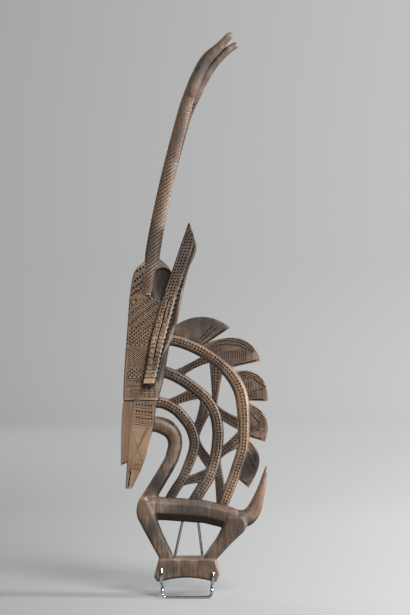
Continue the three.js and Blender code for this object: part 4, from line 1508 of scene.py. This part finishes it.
def rod(name, corners):
    """A round rod along a bent route, with its two ends eased."""
    route = bent_route(corners)
    for end, inner in ((0, 1), (-1, -2)):
        eased = route[end] + unit(route[inner] - route[end]) * END_EASE
        route = np.insert(route, 1 if end == 0 else len(route) - 1, eased, axis=0)
    forward = unit(np.gradient(route, axis=0))
    across = np.array([1.0, 0, 0]) if abs(forward[0][0]) < 0.9 else np.array([0, 1.0, 0])
    angle = np.arange(ROD_SIDES) / ROD_SIDES * 2 * math.pi
    rings = []
    for i, (place, along) in enumerate(zip(route, forward)):
        across = unit(across - along * (across @ along))
        up = np.cross(along, across)
        radius = ROD - (END_EASE * 0.7 if i in (0, len(route) - 1) else 0)
        rings.append(place + radius * (np.cos(angle)[:, None] * across + np.sin(angle)[:, None] * up))
    return loft(name, rings)


# %% [markdown]
# The corners of both wires are the CAD model's own, worked out from the block that they
# hold: a rod's half thickness and a hair of air outside each face of the block.

# %% Cradle wire and leg wire
AIR = 0.3
rest_x = HALF_BLOCK - BLOCK_FOOT
rest_z = -ROD - AIR
front_y = -HALF_BLOCK_DEPTH - ROD - AIR
back_y = HALF_BLOCK_DEPTH + ROD + 4
hoop_y = 24.0


def cradle_corners():
    """From the left prong under the block, round the hoop, and back to the right prong."""
    return [(-rest_x, front_y, 24), (-rest_x, front_y, rest_z), (-rest_x, back_y, rest_z),
            (-28, back_y, 8), (-8.5, back_y, 96), (-2.5, hoop_y, 132), (13.5, hoop_y, 132),
            (19.5, back_y, 96), (30.5, back_y, 8), (rest_x, back_y, rest_z), (rest_x, front_y, rest_z),
            (rest_x, front_y, 17)]


def leg_corners():
    """From the left rear foot to the bar on the floor in front, and back to the right one."""
    x, run_z, bar_y, foot_y = rest_x - 2.1, -8.11, front_y - 12, back_y + 26
    bar_z = ROD - SEAT
    return [(-x, foot_y, -SEAT), (-x, foot_y, run_z), (-x, bar_y, run_z), (-x, bar_y, bar_z),
            (x, bar_y, bar_z), (x, bar_y, run_z), (x, foot_y, run_z), (x, foot_y, -SEAT)]


wires = []
for name, node, corners in (("bent_cradle_wire", "cradle_wire", cradle_corners()),
                            ("bent_leg_wire", "leg_wire", leg_corners())):
    wire = rod(name, corners)
    put_in_frame(wire, node)
    shade_smooth(wire, 50)
    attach(wire, "root")
    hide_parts(node)
    wires.append(wire)
    print(name, "box:", [round(v, 4) for v in wire.dimensions])

# %% [markdown]
# ## Building a finish from nodes
#
# A finish is a small graph of shader nodes. A helper that makes a node, sets its options and
# joins its inputs keeps each graph short enough to read. A few more helpers name the steps
# that come again and again: noise, arithmetic, and one colour mixed into another.

# %% Making and joining nodes
def feed(tree, node, inputs):
    """Joins a node's inputs to sockets, or sets them to values."""
    for socket, value in inputs.items():
        if isinstance(value, bpy.types.NodeSocket):
            tree.links.new(value, node.inputs[socket])
        else:
            node.inputs[socket].default_value = value


def shader_node(tree, kind, inputs=None, **options):
    """A new node with its options set and its inputs fed."""
    made = tree.nodes.new(kind)
    for option, value in options.items():
        setattr(made, option, value)
    feed(tree, made, inputs or {})
    return made


def new_finish(name):
    """A new material with its tree of nodes and the node that shades the surface."""
    material = bpy.data.materials.new(name)
    material.use_nodes = True
    tree = material.node_tree
    return material, tree, tree.nodes["Principled BSDF"]


# %% Steps that come again
def clouds(tree, place, **inputs):
    """Noise between 0 and 1."""
    return shader_node(tree, "ShaderNodeTexNoise", {"Vector": place, **inputs}).outputs["Fac"]


def calculated(tree, operation, *numbers):
    """One step of arithmetic."""
    inputs = dict(enumerate(numbers))
    return shader_node(tree, "ShaderNodeMath", inputs, operation=operation).outputs["Value"]


def relief(tree, height, strength, distance):
    """The surface's direction as it would be with small bumps."""
    return shader_node(tree, "ShaderNodeBump", {
        "Height": height, "Strength": strength, "Distance": distance}).outputs["Normal"]


def spread(tree, value, low, high, to_low, to_high):
    """Carries a number from one range to another."""
    made = shader_node(tree, "ShaderNodeMapRange", {
        "Value": value, "From Min": low, "From Max": high, "To Min": to_low, "To Max": to_high})
    return made.outputs["Result"]


# %% Colours
# A Mix node has inputs for numbers, vectors and colours; these are its places for colours
MIX_INPUTS = (0, 6, 7)
MIX_OUTPUT = 2


def blend_colours(tree, factor, first, second):
    """The first colour where the factor is 0, the second where it is 1."""
    inputs = dict(zip(MIX_INPUTS, (factor, first, second)))
    return shader_node(tree, "ShaderNodeMix", inputs, data_type="RGBA").outputs[MIX_OUTPUT]


def linear(red, green, blue):
    """An 8-bit screen colour as the linear colour that shaders use."""
    shares = np.array([red, green, blue]) / 255
    bent = np.where(shares <= 0.04045, shares / 12.92, ((shares + 0.055) / 1.055)**2.4)
    return (*bent.tolist(), 1.0)


def tinted(tree, colour, tint, value, low, high, to_low, to_high):
    """A colour with a tint mixed in, by the amount that a value is spread to."""
    return blend_colours(tree, spread(tree, value, low, high, to_low, to_high), colour, linear(*tint))


# %% [markdown]
# ## Old hard wood
#
# The wood is a dense grey-brown with a dry, handled surface. Its fibres run up the log, so
# the grain noise is squeezed sideways and long in z. Slow noise mottles the patina, and fine
# dark cracks run along the fibres, more of them in the block near the floor.

# %% Colours of the bare wood
def wood_tones(tree, mottle):
    """Three tones from dark to pale, mixed by slow noise."""
    tone = shader_node(tree, "ShaderNodeValToRGB", {"Fac": mottle})
    ramp = tone.color_ramp
    ramp.elements[0].position, ramp.elements[0].color = 0.37, linear(74, 61, 52)
    ramp.elements[1].position, ramp.elements[1].color = 0.65, linear(172, 149, 130)
    ramp.elements.new(0.5).color = linear(120, 101, 87)
    return tone.outputs["Color"]


def open_grain(tree, place, up_grain):
    """Where fine cracks lie: along the middle value of a noise that is long in z."""
    streak = clouds(tree, up_grain, Scale=130.0, Detail=2.0, Distortion=0.4)
    off_middle = calculated(tree, "ABSOLUTE", calculated(tree, "SUBTRACT", streak, 0.5))
    height = shader_node(tree, "ShaderNodeSeparateXYZ", {"Vector": place}).outputs["Z"]
    return calculated(tree, "MULTIPLY", spread(tree, off_middle, 0.0, 0.042, 1.0, 0.0),
                      spread(tree, height, 0.07, 0.16, 0.85, 0.35))


def bare_wood(tree, place, up_grain, mottle, fibre):
    """Tones, warm stains, fibres, wider bands and cracks, one over the other."""
    stain = clouds(tree, place, Scale=7.0, Detail=3.0)
    band = clouds(tree, up_grain, Scale=90.0, Detail=3.0, Roughness=0.5)
    colour = wood_tones(tree, mottle)
    colour = tinted(tree, colour, (130, 95, 66), stain, 0.43, 0.62, 0.0, 0.7)
    colour = tinted(tree, colour, (52, 41, 35), fibre, 0.38, 0.62, 0.5, 0.0)
    colour = tinted(tree, colour, (68, 55, 47), band, 0.38, 0.6, 0.4, 0.0)
    return blend_colours(tree, open_grain(tree, place, up_grain), colour, linear(34, 26, 22))


# %% [markdown]
# Over the bare wood lies its patina, which reads the numbers on the points. Hands leave a
# honey brown, and soot stays where no hand goes; the same dark tint paints shade under the
# body, in the hollows and on some whole sides. Soot is also duller than rubbed wood. Dirt
# and painted shade fill the cuts and corners, and rubbed edges are paler, which also paints a
# highlight along them.

# %% Patina with painted shade, and the wood finish
def stored(tree, name):
    """A number that was stored on the points."""
    return shader_node(tree, "ShaderNodeAttribute", attribute_name=name).outputs["Fac"]


def patina_and_painted_shade(tree, colour, held_and_shaded):
    """Honey brown, soot and painted shade, then dirt and painted shade in cuts and corners, then pale
    edges with a painted highlight.
    """
    depth, wear_and_painted_light = stored(tree, "cut_depth"), stored(tree, "edge_wear_and_painted_light")
    colour = tinted(tree, colour, (153, 120, 92), held_and_shaded, 0.0, 1.0, 0.0, 0.75)
    # Soot, and painted shade where the number below zero stands for shade
    colour = tinted(tree, colour, (37, 32, 29), held_and_shaded, 0.0, -1.0, 0.0, 0.92)
    # Dirt and painted shade darken the cuts by their depth
    colour = tinted(tree, colour, (22, 15, 11), depth, 0.03, 0.42, 0.0, 0.96)
    # Painted shade in the corners
    colour = tinted(tree, colour, (32, 24, 20), wear_and_painted_light, -0.03, -0.35, 0.0, 0.9)
    # Pale edges: wear with a painted highlight
    return tinted(tree, colour, (186, 160, 136), wear_and_painted_light, 0.08, 0.4, 0.0, 0.7)


def wood_finish():
    """Bare wood under its patina and painted shade, with fine relief along the fibres."""
    material, tree, surface_shader = new_finish("aged_wood_and_painted_shade")
    place = shader_node(tree, "ShaderNodeTexCoord").outputs["Object"]
    squeezed = shader_node(tree, "ShaderNodeMapping", {"Vector": place, "Scale": (1, 1, 0.07)})
    up_grain = squeezed.outputs["Vector"]
    fibre = clouds(tree, up_grain, Scale=420.0, Detail=6.0, Roughness=0.62)
    mottle = clouds(tree, place, Scale=26.0, Detail=5.0, Roughness=0.6)
    held_and_shaded = stored(tree, "handling_and_shade")
    feed(tree, surface_shader, {
        "Base Color": patina_and_painted_shade(tree, bare_wood(tree, place, up_grain, mottle, fibre), held_and_shaded),
        "Roughness": calculated(tree, "ADD", spread(tree, mottle, 0.3, 0.7, 0.56, 0.36),
                                spread(tree, held_and_shaded, 0.0, -1.0, 0.0, 0.36)),
        "Specular IOR Level": 0.5,
        "Normal": relief(tree, calculated(tree, "ADD", fibre, mottle), 0.35, 0.0012)})
    print("wood finish:", len(tree.nodes), "nodes")
    return material


carving.data.materials.clear()
carving.data.materials.append(wood_finish())
for face in carving.data.polygons:
    face.material_index = 0

# %% [markdown]
# ## Chromed rod
#
# Chrome is a metal of a pale, slightly blue grey that reflects the room, so most of its look
# comes from the light. Fine noise in its colour and its roughness keeps it from being a
# perfect mirror.

# %% Chrome finish
def chrome_finish():
    """A nearly smooth metal with a hint of relief."""
    material, tree, surface_shader = new_finish("chromed_rod")
    place = shader_node(tree, "ShaderNodeTexCoord").outputs["Object"]
    haze = clouds(tree, place, Scale=240.0, Detail=4.0)
    feed(tree, surface_shader, {
        "Base Color": blend_colours(tree, haze, linear(160, 165, 172), linear(196, 199, 204)),
        "Roughness": spread(tree, haze, 0.3, 0.7, 0.1, 0.2),
        "Metallic": 1.0,
        "Normal": relief(tree, haze, 0.05, 0.0002)})
    return material


chrome = chrome_finish()
for wire in wires:
    wire.data.materials.append(chrome)
    print(wire.name, "has the finish", chrome.name)

# %% [markdown]
# ## Floor and backdrop
#
# A photographer's sweep is a sheet that runs from the floor up the wall in one curve, so that
# no horizon shows. This one is turned round the object like a shallow bowl, so that it closes
# the view from every side.

# %% The sweep
FLOOR_RADIUS = 7.0
SWEEP_BEND = 2.0
WALL_TOP = 6.0
SWEEP_SIDES = 96
BEND_STEPS = 12


def sweep_bowl():
    """A floor, a round bend and a wall, turned round the object."""
    profile = [(0.4, 0.0), (FLOOR_RADIUS, 0.0)]
    for step in range(1, BEND_STEPS + 1):
        turn = step / BEND_STEPS * math.pi / 2
        profile.append((FLOOR_RADIUS + SWEEP_BEND * math.sin(turn), SWEEP_BEND * (1 - math.cos(turn))))
    profile.append((FLOOR_RADIUS + SWEEP_BEND, WALL_TOP))
    angle = np.arange(SWEEP_SIDES) / SWEEP_SIDES * 2 * math.pi
    points = [(away * math.cos(turn), away * math.sin(turn), z) for away, z in profile for turn in angle]
    faces = [tuple(range(SWEEP_SIDES))]
    for below in range(0, (len(profile) - 1) * SWEEP_SIDES, SWEEP_SIDES):
        above = below + SWEEP_SIDES
        for i in range(SWEEP_SIDES):
            j = (i + 1) % SWEEP_SIDES
            faces.append((below + j, below + i, above + i, above + j))
    mesh = bpy.data.meshes.new("sweep")
    mesh.from_pydata(points, [], faces)
    for face in mesh.polygons:
        face.use_smooth = True
    return new_object("sweep", mesh)


# %% [markdown]
# In the photograph the paper is dim on the left and bright on the right, with a soft border
# that runs behind the object. Lamps alone would light the object with it. So the paper glows
# a little by itself: how much depends on x, on how far back a place is and, at the right, on
# its height, and towards the camera it fades. The paper is hidden from diffuse rays, so its
# glow doesn't fall on the wood, while the chrome still mirrors it.

# %% Glowing paper
def paper_glow(tree, place):
    """How strongly the paper glows, from the dim left to the bright right."""
    x, y, z = shader_node(tree, "ShaderNodeSeparateXYZ", {"Vector": place}).outputs
    dim = spread(tree, y, 2.0, 5.6, 0.04, 0.21)
    low_wall = calculated(tree, "MULTIPLY", spread(tree, y, 2.5, 6.5, 0.0, 0.09),
                          spread(tree, z, 0.0, 0.7, 1.0, 0.0))
    bright = calculated(tree, "ADD", spread(tree, y, 0.0, 5.0, 0.48, 0.37), low_wall)
    left, right = (spread(tree, y, 0.0, 5.0, *ends) for ends in ((-0.5, -1.3), (0.5, 1.3)))
    glow = calculated(tree, "MULTIPLY", spread(tree, x, left, right, dim, bright),
                      spread(tree, y, -1.2, 1.6, 0.6, 1.0))
    return calculated(tree, "MULTIPLY", glow, spread(tree, y, -4.0, -0.4, 0.1, 1.0))


def sweep_finish():
    """Dull grey paper that glows a little."""
    material, tree, surface_shader = new_finish("pale_paper")
    place = shader_node(tree, "ShaderNodeTexCoord").outputs["Object"]
    cloud = clouds(tree, place, Scale=0.5, Detail=2.0)
    feed(tree, surface_shader, {
        "Base Color": blend_colours(tree, cloud, linear(134, 135, 136), linear(138, 138, 138)),
        "Emission Color": (1.0, 1.0, 1.0, 1.0),
        "Emission Strength": paper_glow(tree, place),
        "Roughness": 0.9,
        "Specular IOR Level": 0.1})
    return material


floor = sweep_bowl()
floor.data.materials.append(sweep_finish())
floor.visible_diffuse = False
floor.visible_shadow = False
print("sweep:", len(floor.data.polygons), "faces")

# %% [markdown]
# ## Light
#
# The key light is a big soft lamp in front, a little to the right and high up, so a soft
# shadow falls behind. A lower lamp at the right lights every flank that looks that way, which
# models the ribs. A third lamp brightens the wall, a weak one behind on the left gives the
# far edges some light, and the world adds a weak grey that is brighter above.

# %% Lamps and world
def lamp(name, place, target, size, power):
    """A round, soft lamp that shines at a place and can't be seen itself."""
    data = bpy.data.lights.new(name, "AREA")
    data.shape = "DISK"
    data.size = size
    data.energy = power
    made = new_object(name, data)
    made.location = place
    made.visible_camera = False
    made.rotation_euler = (Vector(target) - Vector(place)).to_track_quat("-Z", "Y").to_euler()
    print(name, "lamp:", round((Vector(target) - Vector(place)).length, 2), "m away")


middle = (0.0, 0.0, 0.5)
lamp("key", (1.8, -4.4, 4.2), middle, size=2.1, power=430)
lamp("side", (5.25, -0.46, 1.7), middle, size=1.3, power=480)
lamp("wall", (4.6, 4.2, 2.2), (-1.0, 7.5, 1.2), size=1.5, power=120)
lamp("back", (-3.0, 4.6, 3.0), middle, size=2.0, power=60)

world = bpy.data.worlds.new("grey room")
world.use_nodes = True
room = world.node_tree
direction = shader_node(room, "ShaderNodeTexCoord").outputs["Generated"]
upwards = shader_node(room, "ShaderNodeSeparateXYZ", {"Vector": direction}).outputs["Z"]
feed(room, room.nodes["Background"], {
    "Color": (0.8, 0.8, 0.8, 1.0), "Strength": spread(room, upwards, -0.6, 0.8, 0.02, 0.18)})
bpy.context.scene.world = world
bpy.context.scene.view_settings.view_transform = "Standard"

# %% [markdown]
# ## The camera
#
# The photograph was taken from straight in front at half the object's height, from far
# enough that nothing leans. A long lens at four and a half metres gives the same flat view.

# %% Camera
CAMERA_PLACE = (0.01812, -4.50885, 0.4980)
CAMERA_LENS = 152.5

camera_data = bpy.data.cameras.new("camera")
camera_data.lens = CAMERA_LENS
camera_data.sensor_width = 36
camera = new_object("camera", camera_data)
camera.location = CAMERA_PLACE
camera.rotation_euler = (math.radians(90), 0, 0)
bpy.context.scene.camera = camera
print("camera:", -CAMERA_PLACE[1], "m in front, lens", CAMERA_LENS, "mm")
